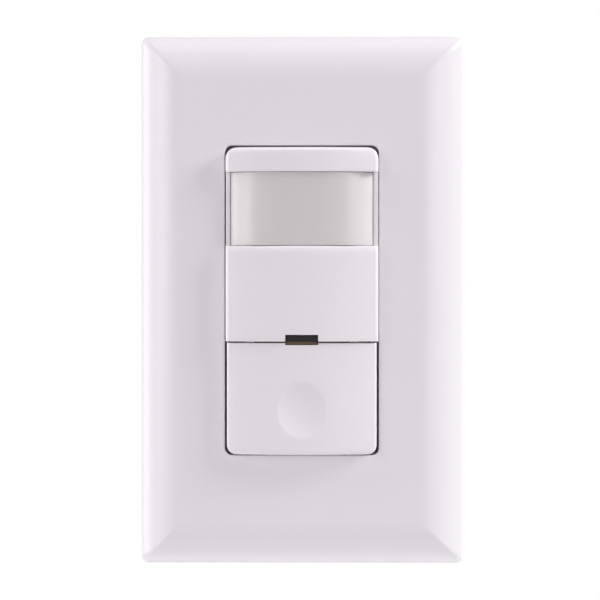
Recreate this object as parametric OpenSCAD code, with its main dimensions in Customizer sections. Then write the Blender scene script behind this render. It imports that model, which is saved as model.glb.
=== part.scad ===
// Motion sensor light switch: an in-wall occupancy sensor with a push button and a screwless plate.
// Millimetres. Pieces are drawn lying down, x right, y up, z out of the wall, then stood on the wall.
// The origin is on the wall plane, midway between the two box screws.

/* [Wall plate] */
// Width of the wall plate
plate_w = 69.85; // [68:0.05:76]
// Distance from the sub-plate screws to the ends of the wall plate
plate_end = 8.73; // [8.2:0.01:12]
// How far the flat front of the plate stands off the wall
plate_depth = 6.8; // [6.4:0.1:8]
// Height of the straight rim at the edge of the plate
plate_rim = 2.6; // [2.2:0.1:3]
// Width of the curved border
plate_border = 9; // [8.4:0.1:10]
// Wall thickness of the plate
plate_wall = 2; // [1.6:0.1:2.1]
// Corner radius of the plate's outline
plate_corner = 1.6; // [1:0.1:3]
// Width of the opening in the plate
opening_w = 33.3; // [33:0.1:34]
// Height of the opening in the plate
opening_h = 66.8; // [66.4:0.1:67.4]
// Corner radius of the opening
opening_corner = 1.6; // [1:0.1:2]
// Depth of the lip behind the opening
lip_depth = 1.2; // [0.6:0.1:1.2]
// Thickness of the lip behind the opening
lip_wall = 1.2; // [0.8:0.1:1.4]
// Length of each snap hook
hook_l = 9; // [6:0.5:12]
// How far each snap hook reaches behind the sub-plate
hook_reach = 0.8; // [0.4:0.1:1.2]

/* [Sub-plate] */
// Thickness of the sub-plate
sub_t = 2.2; // [1.8:0.1:2.3]
// Gap between the edge of the sub-plate and the wall plate
sub_gap = 0.4; // [0.2:0.1:0.8]
// Gap between the sub-plate and the flange of the front housing
sub_flange_gap = 0.5; // [0.3:0.1:0.8]

/* [Mounting strap] */
// Thickness of the strap
strap_t = 1.2; // [1:0.1:1.4]
// Width of the strap's ears
ear_w = 33.5; // [30:0.5:36]
// Distance from the sub-plate screws to the ends of the ears
ear_end = 4.58; // [4:0.01:5]
// Distance between the two box screws
box_screw_pitch = 83.34; // [80:0.02:92]
// Distance from each box screw to the sub-plate screw beyond it
sub_screw_step = 6.75; // [6.7:0.01:7]
// Width of the slots for the box screws
slot_w = 4; // [3.6:0.1:4.4]
// Length of the slots for the box screws
slot_l = 9; // [7:0.5:11]

/* [Screws] */
// Thread radius of the box, sub-plate and terminal screws
screw_r = 1.75; // [1.6:0.05:1.8]
// Neck radius of the box screws inside the strap
box_neck_r = 1.5; // [1.3:0.05:1.55]
// Length of the box screws behind the strap
box_screw_l = 24; // [18:0.5:30]
// Head radius of the box screws
box_head_r = 3.2; // [2.8:0.1:3.3]
// Head radius of the sub-plate screws
sub_head_r = 2.7; // [2.4:0.1:2.8]
// Thread radius of the housing screws
housing_screw_r = 1.3; // [1.2:0.05:1.4]
// Head radius of the housing screws
housing_head_r = 2.4; // [2.1:0.1:2.5]
// Clearance around screw threads
screw_clear = 0.06; // [0.04:0.02:0.2]

/* [Device front] */
// Gap between the device and the sides of the opening
side_gap = 0.4; // [0.3:0.05:0.6]
// Gap between the device and the ends of the opening
end_gap = 0.5; // [0.3:0.05:0.7]
// How far the middle panel stands in front of the plate
face_rise = 4; // [3:0.1:5]
// Crown radius of the panel and the button across the width
face_crown_r = 78; // [75:1:150]
// Corner radius of the device outline
face_corner = 2; // [1.6:0.1:2.4]
// Rounding of the front edges of the housing
face_edge = 1; // [0.6:0.1:1.2]
// Wall thickness of the front face
face_wall = 1.2; // [1:0.1:1.4]
// Wall thickness of the sides
side_wall = 1.3; // [1.1:0.1:1.5]
// Height of the top band
band_h = 5.2; // [4.8:0.1:5.6]
// Height of the lens window
window_h = 15.9; // [15:0.1:17]
// Height of the middle panel
panel_h = 20.6; // [20:0.1:21.4]
// Thickness of the rails beside the lens
rail_w = 0.85; // [0.7:0.05:1]
// How far the rails stand in front of the plate
rail_rise = 0; // [0:0.1:1]
// Rounding of the lower front edge of the top band
band_edge = 0.3; // [0.2:0.1:0.8]
// Rounding of the upper front edge of the middle panel
panel_edge = 0.7; // [0.3:0.1:1]
// How far the flange reaches beyond the device outline
flange_lip = 1.4; // [1:0.1:1.6]
// Thickness of the flange
flange_t = 1.4; // [1:0.1:1.6]

/* [Sensor lens] */
// Wall thickness of the lens
lens_wall = 0.9; // [0.7:0.05:1.1]
// Crown radius of the middle of the lens
lens_crown_r = 120; // [90:5:125]
// Radius of the steep edges of the lens
lens_edge_r = 9; // [8.8:0.1:10]
// How far the edge curve would run on past the rails
lens_overrun = 2.1; // [1.9:0.1:2.2]
// How far the lens stands in front of its own flange
lens_rise = 1; // [0.6:0.1:1.1]
// How far the lens flange lies below the inside of the face
lens_sink = 0.25; // [0.25:0.05:0.35]
// Clearance around the lens
lens_clear = 0.1; // [0.05:0.05:0.2]
// How far the lens is tucked under the band and the panel
lens_tuck = 0.9; // [0.6:0.1:1]

/* [Indicator window] */
// Width of the indicator window
indicator_w = 6.9; // [5:0.1:8]
// How far the window reaches up into the panel
indicator_up = 1.45; // [1.2:0.05:1.6]
// How far the window reaches down into the button
indicator_down = 0.47; // [0.3:0.01:0.55]
// How far the window lies behind the front of the panel
indicator_recess = 0.7; // [0.4:0.1:0.9]
// Clearance around the window
indicator_clear = 0.1; // [0.05:0.05:0.2]

/* [Push button] */
// Gap between the panel and the button
button_gap = 0.3; // [0.2:0.05:0.4]
// How far the button lies behind the front of the panel
button_drop = 0.5; // [0.2:0.1:0.8]
// How much narrower the button is than the panel, each side
button_inset = 0.3; // [0.1:0.05:0.4]
// Front wall thickness of the button
button_wall = 1.6; // [1.4:0.1:2]
// Skirt thickness of the button
button_skirt = 1.1; // [0.9:0.1:1.2]
// Depth of the button's skirt
button_depth = 5.6; // [5:0.1:6]
// Rounding of the button's front edges
button_edge = 0.7; // [0.4:0.1:1]
// Diameter of the finger dimple
dimple_d = 11.5; // [8:0.5:13]
// Depth of the finger dimple
dimple_depth = 0.7; // [0.4:0.1:1]
// Height of the dimple's centre above the button's lower edge
dimple_up = 9.4; // [8:0.1:11]
// Radius of the button's pivots
pivot_r = 0.9; // [0.8:0.05:1]
// Running clearance of the pivots in their bores
pivot_clear = 0.05; // [0.03:0.01:0.08]
// Height of the pivots above the panel's lower edge
pivot_up = 2.6; // [2.4:0.1:3]
// How far the pivots lie behind the front of the panel
pivot_back = 3.6; // [3.4:0.1:4]
// Angle through which the button is pressed
press_angle = 2; // [1:0.1:2.2]

/* [Rear housing] */
// Width of the rear housing
rear_w = 44; // [43.6:0.1:45]
// Height of the rear housing
rear_h = 70; // [69:0.5:71]
// Depth of the rear housing behind the wall plane
rear_depth = 29; // [26.2:0.1:34]
// Wall thickness of the rear housing
rear_wall = 2; // [1.6:0.1:2.2]
// Radius of the rear housing's upright corners
rear_corner = 3; // [2.4:0.1:4]
// Rounding of the rear housing's back edges
rear_edge = 1.5; // [1:0.1:1.8]
// Radius of the screw pillars
pillar_r = 3.2; // [3:0.1:3.3]

/* [Terminals] */
// Height of the middle of the upper terminals
upper_terminal_y = 13; // [12:0.5:14]
// Height of the middle of the lower terminals
lower_terminal_y = -18; // [-18.5:0.5:-17]
// Width of a terminal pocket
pocket_w = 11; // [10:0.2:11.6]
// Length of a terminal pocket
pocket_l = 14; // [13:0.2:14.4]
// Depth of a terminal pocket from the side
pocket_in = 6; // [5.6:0.1:6.2]
// Thickness of the terminal plates
terminal_t = 0.8; // [0.6:0.1:1]
// Thickness of the wire clamps
clamp_t = 0.9; // [0.7:0.1:1]
// Space for the wire under each clamp
wire_space = 0.9; // [0.6:0.1:1]
// Radius of the terminal screw heads
terminal_head_r = 3.6; // [3:0.1:4]
// Height of the terminal screw heads
terminal_head_h = 2.2; // [1.6:0.1:2.4]

/* [Boards] */
// Thickness of the circuit boards
board_t = 1.6; // [1:0.1:1.6]
// Front of the control board behind the wall plane
control_back = 4.5; // [4.2:0.1:4.8]
// Distance from the back of the rear housing to the front of the power board
power_rise = 5.8; // [5.2:0.1:6]
// Radius of the component leads
lead_r = 0.4; // [0.3:0.05:0.5]
// Clearance around leads in the boards
lead_clear = 0.05; // [0.03:0.01:0.15]
// How far leads stick out behind a board
lead_out = 1.2; // [0.6:0.1:1.3]

/* [Hidden] */
$fn = 72;
cut = 1;
touch = 0.03;
inner_corner = 0.6;
box_y = box_screw_pitch / 2;
sub_y = box_y + sub_screw_step;
plate_h = 2 * (sub_y + plate_end);
ear_h = 2 * (sub_y + ear_end);

face_z = plate_depth + face_rise;
ceiling_z = face_z - face_wall;
seat_z = strap_t;
front_w = opening_w - 2 * side_gap;
front_top = opening_h / 2 - end_gap;
inner_half = front_w / 2 - side_wall;
side_ceiling_z = face_z - face_wall / 2 - face_crown_r + sqrt(pow(face_crown_r, 2) - pow(inner_half, 2));
window_top = front_top - band_h;
window_bottom = window_top - window_h;
window_mid = (window_top + window_bottom) / 2;
panel_bottom = window_bottom - panel_h;
button_top = panel_bottom - button_gap;
button_bottom = -front_top;
button_w = front_w - 2 * button_inset;
button_z = face_z - button_drop;
skirt_z = button_z - button_depth;
rail_z = plate_depth + rail_rise;

border_r = (pow(plate_border, 2) + pow(plate_depth - plate_rim, 2)) / (2 * (plate_depth - plate_rim));
border_z = plate_depth - border_r;
hook_gap = 0.1;
hook_back = 0.15;
hook_share_y = 0.26;
hook_share_x = 0.33;
hook_y = plate_h * hook_share_y;
hook_x = plate_w * hook_share_x;
pry_w = 8;
pry_h = 1;

sub_z = seat_z + sub_t;
sub_half_w = inside_half(plate_w, sub_z) - sub_gap;
sub_half_h = inside_half(plate_h, sub_z) - sub_gap;
sub_corner = 2;
sub_open_w = front_w + 2 * (flange_lip + sub_flange_gap);
sub_open_h = 2 * (front_top + flange_lip + sub_flange_gap);
head_pass_gap = 0.25;
head_pass_r = box_head_r + head_pass_gap;
sub_head_h = sub_head_r - screw_r;
sub_screw_l = 4;
web_slot_l = 14;
web_slot_w = 2.4;

ear_corner = 4;
strap_lip = 2;
strap_corner = 2;
strap_window_w = 30;
strap_window_corner = 1.5;
strap_web = 2.2;
ear_notch_r = 1.6;
ear_notch_up = 0.6;
ear_notch_y = sub_y + ear_notch_up;
tab_gap = 1;
tab_w = 9;
tab_l = 11;
ground_z = -6.2;
box_head_h = 1.9;
recess_w = 0.9;
recess_depth = 1;
recess_share = 0.6;

tub_side_gap = 0.7;
tub_end_gap = 0.5;
tub_wall = 1.3;
tub_drop = 2.6;
tub_half = button_w / 2 - button_skirt - tub_side_gap;
tub_bottom = button_bottom + button_skirt + tub_end_gap;
tub_top = button_top - button_skirt - tub_side_gap;
tub_z = button_z - button_wall - tub_drop;
cheek_t = 1.2;
window_half = front_w / 2 - rail_w;
lens_side_gap = 0.1;
lens_half = window_half - lens_side_gap;
lens_tuck_half = inner_half - lens_side_gap;
lens_flange_z = ceiling_z - lens_clear - lens_sink;
lens_z = lens_flange_z + lens_rise;
lens_spring = lens_half + lens_overrun;
lens_tip_z = lens_flange_z - crown_drop(lens_spring, lens_crown_r, lens_edge_r)
    + sqrt(pow(lens_edge_r - lens_wall, 2) - pow(lens_half - lens_spring + lens_edge_r, 2));
rail_floor = lens_tip_z - lens_clear;
rib_w = 0.4;
rib_depth = 0.3;
rib_count = 9;
rib_pitch = 2 * lens_half / (rib_count + 3);
boss_r = 2.2;
boss_h = 4.2;
boss_top = 0.4;
boss_bulge = 0.2;
boss_edge = 1.95;
boss_inset = 0.4;
boss_z = seat_z + boss_h;
screw_x = tub_half - boss_r + boss_bulge;
screw_top_y = front_top - boss_edge;
screw_bottom_y = tub_bottom + tub_wall + boss_r + boss_bulge;
screw_end_gap = 0.2;
housing_pass = 0.2;
holddown_gap = 0.5;
holddown_r = 1.2;
holddown_x = strap_window_w / 2 - holddown_r - holddown_gap;
holddown_below = 8.8;
holddown_y = window_bottom - holddown_below;

pivot_y = panel_bottom + pivot_up;
pivot_z = face_z - pivot_back;
pivot_cheek = 2.35;
pivot_in = inner_half - pivot_cheek;
pivot_end = 0.65;
pivot_out = inner_half - pivot_end;
cheek_y = 2;
cheek_z = 2.2;
arm_w = 2;
arm_gap = 0.3;
arm_wall = 0.15;
arm_t = 2 * (pivot_r + arm_wall);
post_up = 11.9;
post_y = button_bottom + post_up;
post_r = 1.5;
post_root = 0.4;
web_t = 1;
web_h = 2;

indicator_front = face_z - indicator_recess;
indicator_half = indicator_w / 2;
stem_t = 1.2;
shoulder_t = 0.9;
shoulder_lip = 1;
shoulder_gap = 0.25;
lamp_gap = 0.3;

pocket_wall = 1.6;
pocket_floor = rear_w / 2 - pocket_in;
pillar_gap = 0.4;
control_z = -control_back;
control_gap = 1.2;
control_half = rear_w / 2 - rear_wall - control_gap;
board_end_gap = 2;
board_top = screw_top_y - pillar_r - pillar_gap;
board_shoulder = screw_bottom_y + pillar_r + pillar_gap;
board_bottom = -rear_h / 2 + rear_wall + board_end_gap;
tongue_half = screw_x - pillar_r - pillar_gap;
power_z = -rear_depth + power_rise;
power_gap = 1.2;
power_half = pocket_floor - pocket_wall - power_gap;
notch_gap = 0.5;
strap_window_top = screw_top_y - housing_screw_r - housing_pass - strap_web;
strap_window_bottom = screw_bottom_y + housing_screw_r + housing_pass + strap_web;

pir_base_r = 4.6;
pir_can_r = 4.1;
pir_base_h = 0.5;
pir_can_h = 3.7;
pir_lead_r = 0.22;
pir_lead_ring = 2.54;
pir_filter_w = 4;
pir_filter_h = 3;
pir_filter_t = 0.3;
holder_h = 1.2;
holder_rim = 0.8;
holder_wall = 0.7;
holder_gap = 0.1;
pir_z = control_z + holder_h;
pir_top = pir_z + pir_base_h + pir_can_h;
lamp_x = 1.7;
lamp_up = 0.7;
lamp_y = panel_bottom + lamp_up;
lamp_h = 1.1;
lamp_l = 2;
lamp_w = 1.2;
lamp_dome_l = 1.4;
lamp_dome_w = 1;
chip_below = 7.3;
chip_at = [0, window_bottom - chip_below];
chip_l = 8.6;
chip_w = 3.9;
chip_h = 1.4;
chip_lift = 0.15;
chip_leg_w = 0.4;
chip_leg_l = 1.1;
chip_leg_h = 0.45;
chip_pitch = 1.27;
chip_legs = 7;

tact_w = 6;
tact_base_h = 3.1;
tact_cover_t = 0.3;
tact_h = 6;
tact_r = 1.75;
tact_collar_r = 2.3;
tact_collar_h = 0.6;
tact_collar_gap = 0.1;
tact_bottom_gap = 0.3;
tact_clear = 0.05;
tact_travel = (pivot_y - post_y) * tan(press_angle);
tact_pocket_r = tact_collar_r + tact_collar_gap;
tact_pocket_h = tact_collar_h + tact_travel + tact_bottom_gap;
tact_leg_w = 0.8;
tact_leg_t = 0.3;
tact_leg_y = 2.2;

header_up = 4;
header_y = board_bottom + header_up;
header_pitch = 2.54;
header_count = 6;
header_w = 2.5;
header_h = 2.54;
header_pin_r = 0.32;
header_pin_out = 1;

board_space = control_z - board_t - power_z;
relay_x = -2.6;
relay_below = 9.6;
relay_at = [relay_x, board_top - relay_below];
relay_w = 18.4;
relay_h = 10.2;
relay_room = 2.5;
relay_size = [relay_w, relay_h, board_space - relay_room];
relay_leads = [[-7.5, 0], [-5, -3.8], [-5, 3.8], [7.5, -3.8], [7.5, 3.8]];
varistor_in = 3.3;
varistor_at = [power_half - varistor_in, relay_at[1]];
varistor_r = 5;
varistor_t = 4;
varistor_lift = 1.5;
varistor_leads = [[0, -3.75], [0, 3.75]];
film_x = -4;
film_below = 11.2;
film_at = [film_x, relay_at[1] - film_below];
film_w = 13;
film_h = 6;
capacitor_room = 5.1;
film_size = [film_w, film_h, board_space - capacitor_room];
film_leads = [[-5, 0], [5, 0]];
choke_x = 8;
choke_below = 11.9;
choke_at = [choke_x, relay_at[1] - choke_below];
choke_r = 3.6;
choke_waist_r = 2.8;
choke_flange = 1.2;
choke_h = 9;
choke_leads = [[-2, 0], [2, 0]];
can_x = [-7.4, 2];
can_below = 11.3;
can_at = [for (x = can_x) [x, film_at[1] - can_below]];
can_r = 4;
can_h = board_space - capacitor_room;
can_leads = [[-1.75, 0], [1.75, 0]];
fuse_x = 9.6;
fuse_below = 11.8;
fuse_at = [fuse_x, film_at[1] - fuse_below];
fuse_r = 1.7;
fuse_l = 8;
fuse_lift = 0.4;
fuse_lead_r = 0.36;
fuse_leads = [[0, -5.5], [0, 5.5]];
bridge_x = -5;
bridge_below = 21.8;
bridge_at = [bridge_x, film_at[1] - bridge_below];
bridge_size = [6.4, 4.9, 2.6];
bridge_leads = [[-2.5, -1.6], [-2.5, 1.6], [2.5, -1.6], [2.5, 1.6]];
power_leads = concat(
    [for (p = relay_leads) relay_at + p],
    [for (p = film_leads) film_at + p],
    [for (c = can_at) for (p = can_leads) c + p],
    [for (p = varistor_leads) varistor_at + p],
    [for (p = fuse_leads) fuse_at + p],
    [for (p = choke_leads) choke_at + p],
    [for (p = bridge_leads) bridge_at + p]);

counterbore_z = -8;
housing_head_h = 1.8;
housing_head_gap = 0.3;
ledge_x = 2.8;
ledge_y = 3;
ledge_out = 1;
ledge_at = [24, -6];
standoff_r = 1.4;
standoff_in = 2.4;
standoff_top = board_top - standoff_in;
standoff_bottom = board_shoulder + standoff_in;
standoff_x = power_half - standoff_in;
terminals = [[-1, upper_terminal_y], [-1, lower_terminal_y], [1, upper_terminal_y]];
ground_y = lower_terminal_y;
terminal_rise = 8;
terminal_z = -rear_depth + terminal_rise;
terminal_w = 9;
terminal_l = 11;
terminal_margin = 1.5;
tail_w = 3;
tail_y = 3;
tail_lap = 1;
tail_end = power_half - tail_lap;
tail_gap = 0.2;
clamp_w = 8;
shank_gap = 0.25;
shank_hole_r = screw_r + shank_gap;
shank_in = 0.3;
shank_end = pocket_floor - pocket_wall + shank_in;

// Half of the space inside the wall plate at height z, along one of its sides
function inside_half(size, z) =
    size / 2 - plate_border + sqrt(pow(border_r - plate_wall, 2) - pow(z - border_z, 2));

// Drop from the top of a crowned profile to the centres of its edge arcs
function crown_drop(half, crown_r, edge_r) =
    crown_r - sqrt(pow(crown_r - edge_r, 2) - pow(half - edge_r, 2));

// Place of one inner groove of the lens
function groove_x(k) = (k - (rib_count - 1) / 2) * rib_pitch;

// Height of the bottom of an inner groove of the lens at a distance x from its middle
function lens_groove_z(x) =
    lens_z - lens_crown_r + sqrt(pow(lens_crown_r - lens_wall, 2) - x * x) + rib_depth;

// Stands a piece on the wall: z out of the wall becomes the direction to the room
module on_wall() {
    rotate([90, 0, 0]) children();
}

// Box between two opposite corners
module block(low, high) {
    translate(low) cube(high - low);
}

// Rectangle with round corners
module rounded_rect(w, h, r) {
    square([w - 2 * r, h], center = true);
    square([w, h - 2 * r], center = true);
    for (sx = [-1, 1], sy = [-1, 1])
        translate([sx * (w / 2 - r), sy * (h / 2 - r)]) circle(r);
}

// Rounded slab between two heights
module slab(w, h, r, low, high) {
    translate([0, 0, low]) linear_extrude(high - low) rounded_rect(w, h, r);
}

// Profile in y and z drawn out along x
module along_x(low, high) {
    translate([low, 0, 0]) rotate([90, 0, 90]) linear_extrude(high - low) children();
}

// Profile in x and z drawn out along y
module along_y(low, high) {
    translate([0, high, 0]) rotate([90, 0, 0]) linear_extrude(high - low) children();
}

// Round rod along z
module rod_z(at, r, low, high) {
    translate([at[0], at[1], low]) cylinder(r = r, h = high - low);
}

// Round rod along x at a height y and z
module rod_x(y, z, r, low, high) {
    translate([low, y, z]) rotate([0, 90, 0]) cylinder(r = r, h = high - low);
}

// Profile with a crowned top that runs smoothly into round edges
module crowned(half, low, top, crown_r, edge_r) {
    edge_z = top - crown_drop(half, crown_r, edge_r);
    meet = (half - edge_r) * crown_r / (crown_r - edge_r);
    translate([-half, low]) square([2 * half, edge_z - low]);
    for (side = [-1, 1])
        translate([side * (half - edge_r), edge_z]) circle(edge_r);
    intersection() {
        translate([0, top - crown_r]) circle(crown_r, $fn = 720);
        translate([-meet, edge_z - cut]) square([2 * meet, top - edge_z + 2 * cut]);
    }
}

// Profile with a flat top and one round front edge at its right end
module soft_end(left, right, low, top, r) {
    translate([left, low]) square([right - left - r, top - low]);
    translate([left, low]) square([right - left, top - low - r]);
    translate([right - r, top - r]) circle(r);
}

// Area under the lens or its flange, grown outwards by a clearance or shrunk by a wall
module lens_area(top, grow, half, low) {
    intersection() {
        crowned(lens_spring + grow, low, top + grow, lens_crown_r + grow, lens_edge_r + grow);
        translate([-half, low]) square([2 * half, top + grow - low + cut]);
    }
}

// Profile across the wall plate: flat front, curved border, straight rim
module border_profile(size, inset, low) {
    flat = size / 2 - plate_border;
    top = plate_depth - inset;
    translate([-flat, low]) square([2 * flat, top - low]);
    for (side = [-1, 1])
        intersection() {
            translate([side * flat, border_z]) circle(border_r - inset, $fn = 180);
            translate([side > 0 ? flat : -size / 2 + inset, low])
                square([plate_border - inset, top - low + cut]);
        }
}

// Form of the wall plate, or of its hollow when inset by the wall
module plate_form(inset, low, corner) {
    intersection() {
        slab(plate_w - 2 * inset, plate_h - 2 * inset, corner, low, plate_depth + cut);
        along_y(-plate_h, plate_h) border_profile(plate_w, inset, low);
        along_x(-plate_w, plate_w) border_profile(plate_h, inset, low);
    }
}

// Snap hook that reaches behind the edge of the sub-plate, drawn for a wall on the right
module hook_profile(size, edge) {
    root = size / 2 - plate_wall / 2;
    tip = edge - hook_reach;
    catch_z = seat_z - hook_gap;
    polygon([[root, hook_back], [tip + hook_reach, hook_back], [tip, catch_z - hook_back],
        [tip, catch_z], [root, catch_z]]);
}

// Screwless plate that snaps over the sub-plate
module wall_plate() {
    color("white") on_wall() {
        difference() {
            union() {
                difference() {
                    plate_form(0, 0, plate_corner);
                    plate_form(plate_wall, -cut, inner_corner);
                }
                slab(opening_w + 2 * lip_wall, opening_h + 2 * lip_wall, opening_corner + lip_wall,
                    plate_depth - plate_wall - lip_depth, plate_depth - plate_wall / 2);
                for (side = [0, 1], y = [-hook_y, hook_y])
                    mirror([side, 0, 0])
                        along_y(y - hook_l / 2, y + hook_l / 2) hook_profile(plate_w, sub_half_w);
                for (side = [0, 1], x = [-hook_x, hook_x])
                    mirror([0, side, 0])
                        along_x(x - hook_l / 2, x + hook_l / 2) hook_profile(plate_h, sub_half_h);
            }
            slab(opening_w, opening_h, opening_corner, -cut, plate_depth + cut);
            block([-pry_w / 2, -plate_h / 2 - cut, -cut],
                [pry_w / 2, -plate_h / 2 + plate_wall + cut, pry_h]);
        }
    }
}

// Flat carrier that the wall plate snaps on to
module sub_plate() {
    color("gainsboro") on_wall() {
        difference() {
            slab(2 * sub_half_w, 2 * sub_half_h, sub_corner, seat_z, sub_z);
            slab(sub_open_w, sub_open_h, sub_corner, seat_z - cut, sub_z + cut);
            for (side = [-1, 1]) {
                rod_z([0, side * box_y], head_pass_r, seat_z - cut, sub_z + cut);
                block([-head_pass_r, min(side * box_y, side * (sub_open_h / 2 - cut)), seat_z - cut],
                    [head_pass_r, max(side * box_y, side * (sub_open_h / 2 - cut)), sub_z + cut]);
                rod_z([0, side * sub_y], screw_r + screw_clear, seat_z - cut, sub_z + cut);
                translate([0, side * sub_y, sub_z - sub_head_h])
                    cylinder(r1 = screw_r + screw_clear, r2 = sub_head_r + screw_clear, h = sub_head_h);
                for (x = [-web_slot_l, web_slot_l])
                    translate([x, side * box_y, seat_z - cut])
                        linear_extrude(sub_t + 2 * cut)
                            rounded_rect(web_slot_l, web_slot_w, web_slot_w / 2 - touch);
            }
        }
    }
}

// Flat-headed screws that hold the sub-plate to the strap
module sub_plate_screws() {
    color("silver") on_wall() {
        for (side = [-1, 1])
            translate([0, side * sub_y, 0]) {
                difference() {
                    union() {
                        rod_z([0, 0], screw_r, -sub_screw_l, sub_z - sub_head_h / 2);
                        translate([0, 0, sub_z - sub_head_h])
                            cylinder(r1 = screw_r, r2 = sub_head_r, h = sub_head_h);
                    }
                    cross_recess(sub_z, sub_head_r);
                }
            }
    }
}

// Cross recess cut into the top of a screw head
module cross_recess(top, head_r) {
    for (turn = [0, 90])
        rotate([0, 0, turn])
            block([-head_r * recess_share, -recess_w / 2, top - recess_depth],
                [head_r * recess_share, recess_w / 2, top + cut]);
}

// Steel strap that carries the device on the wall box
module mounting_strap() {
    color("lightsteelblue") on_wall() {
        difference() {
            union() {
                slab(ear_w, ear_h, ear_corner, 0, strap_t);
                slab(rear_w, rear_h + 2 * strap_lip, strap_corner, 0, strap_t);
                block([pocket_floor + tab_gap, ground_y - tab_w / 2, -tab_l],
                    [pocket_floor + tab_gap + strap_t, ground_y + tab_w / 2, strap_t / 2]);
            }
            translate([0, (strap_window_top + strap_window_bottom) / 2, -cut])
                linear_extrude(strap_t + 2 * cut)
                    rounded_rect(strap_window_w, strap_window_top - strap_window_bottom, strap_window_corner);
            for (side = [-1, 1]) {
                translate([0, side * box_y, -cut]) linear_extrude(strap_t + 2 * cut)
                    rounded_rect(slot_l, slot_w, slot_w / 2 - touch);
                rod_z([0, side * sub_y], screw_r + screw_clear, -cut, strap_t + cut);
                for (x = [-ear_w / 2, ear_w / 2])
                    rod_z([x, side * ear_notch_y], ear_notch_r, -cut, strap_t + cut);
                for (y = [screw_bottom_y, screw_top_y])
                    rod_z([side * screw_x, y], housing_screw_r + housing_pass, -cut, strap_t + cut);
            }
            rod_x(ground_y, ground_z, screw_r + screw_clear, pocket_floor,
                pocket_floor + tab_gap + strap_t + cut);
        }
    }
}

// Screws that hold the strap to the wall box
module box_screws() {
    color("silver") on_wall() {
        for (side = [-1, 1])
            translate([0, side * box_y, 0])
                difference() {
                    union() {
                        rod_z([0, 0], screw_r, -box_screw_l, 0);
                        rod_z([0, 0], box_neck_r, -cut, seat_z + cut);
                        intersection() {
                            rod_z([0, 0], box_head_r, seat_z, seat_z + box_head_h);
                            translate([0, 0, seat_z + box_head_h - 2 * box_head_r]) sphere(2 * box_head_r);
                        }
                    }
                    cross_recess(seat_z + box_head_h, box_head_r);
                }
    }
}

// Green screw on the strap's ground tab
module ground_screw() {
    color("seagreen") on_wall()
        terminal_screw(ground_y, ground_z, pocket_floor + tab_gap + strap_t, shank_end);
}

// Terminal screw along x with its head towards the side of the device
module terminal_screw(y, z, seat_x, end_x) {
    difference() {
        union() {
            rod_x(y, z, screw_r, end_x, seat_x + cut / 2);
            rod_x(y, z, terminal_head_r, seat_x, seat_x + terminal_head_h);
        }
        block([seat_x + terminal_head_h - recess_depth, y - terminal_head_r, z - recess_w / 2],
            [seat_x + terminal_head_h + cut, y + terminal_head_r, z + recess_w / 2]);
        block([seat_x + terminal_head_h - recess_depth, y - recess_w / 2, z - terminal_head_r * recess_share],
            [seat_x + terminal_head_h + cut, y + recess_w / 2, z + terminal_head_r * recess_share]);
    }
}

// Outer form of the top band, rails and middle panel
module face_form() {
    intersection() {
        slab(front_w, 2 * front_top, face_corner, seat_z, face_z + cut);
        along_y(panel_bottom, front_top + cut)
            crowned(front_w / 2, seat_z, face_z, face_crown_r, face_edge);
        along_x(-front_w, front_w)
            soft_end(panel_bottom, front_top, seat_z, face_z, face_edge);
    }
}

// Cut for the lens window with rounded edges on the band and the panel
module window_cut() {
    along_x(-front_w, front_w) {
        translate([window_bottom, rail_z]) square([window_h, face_z - rail_z + cut]);
        difference() {
            translate([window_bottom - panel_edge, face_z - panel_edge])
                square([panel_edge + cut, panel_edge + cut]);
            translate([window_bottom - panel_edge, face_z - panel_edge]) circle(panel_edge);
        }
        difference() {
            translate([window_top - cut, face_z - band_edge]) square([band_edge + cut, band_edge + cut]);
            translate([window_top + band_edge, face_z - band_edge]) circle(band_edge);
        }
    }
    block([-window_half, window_bottom, rail_floor], [window_half, window_top, rail_z + cut]);
}

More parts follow.
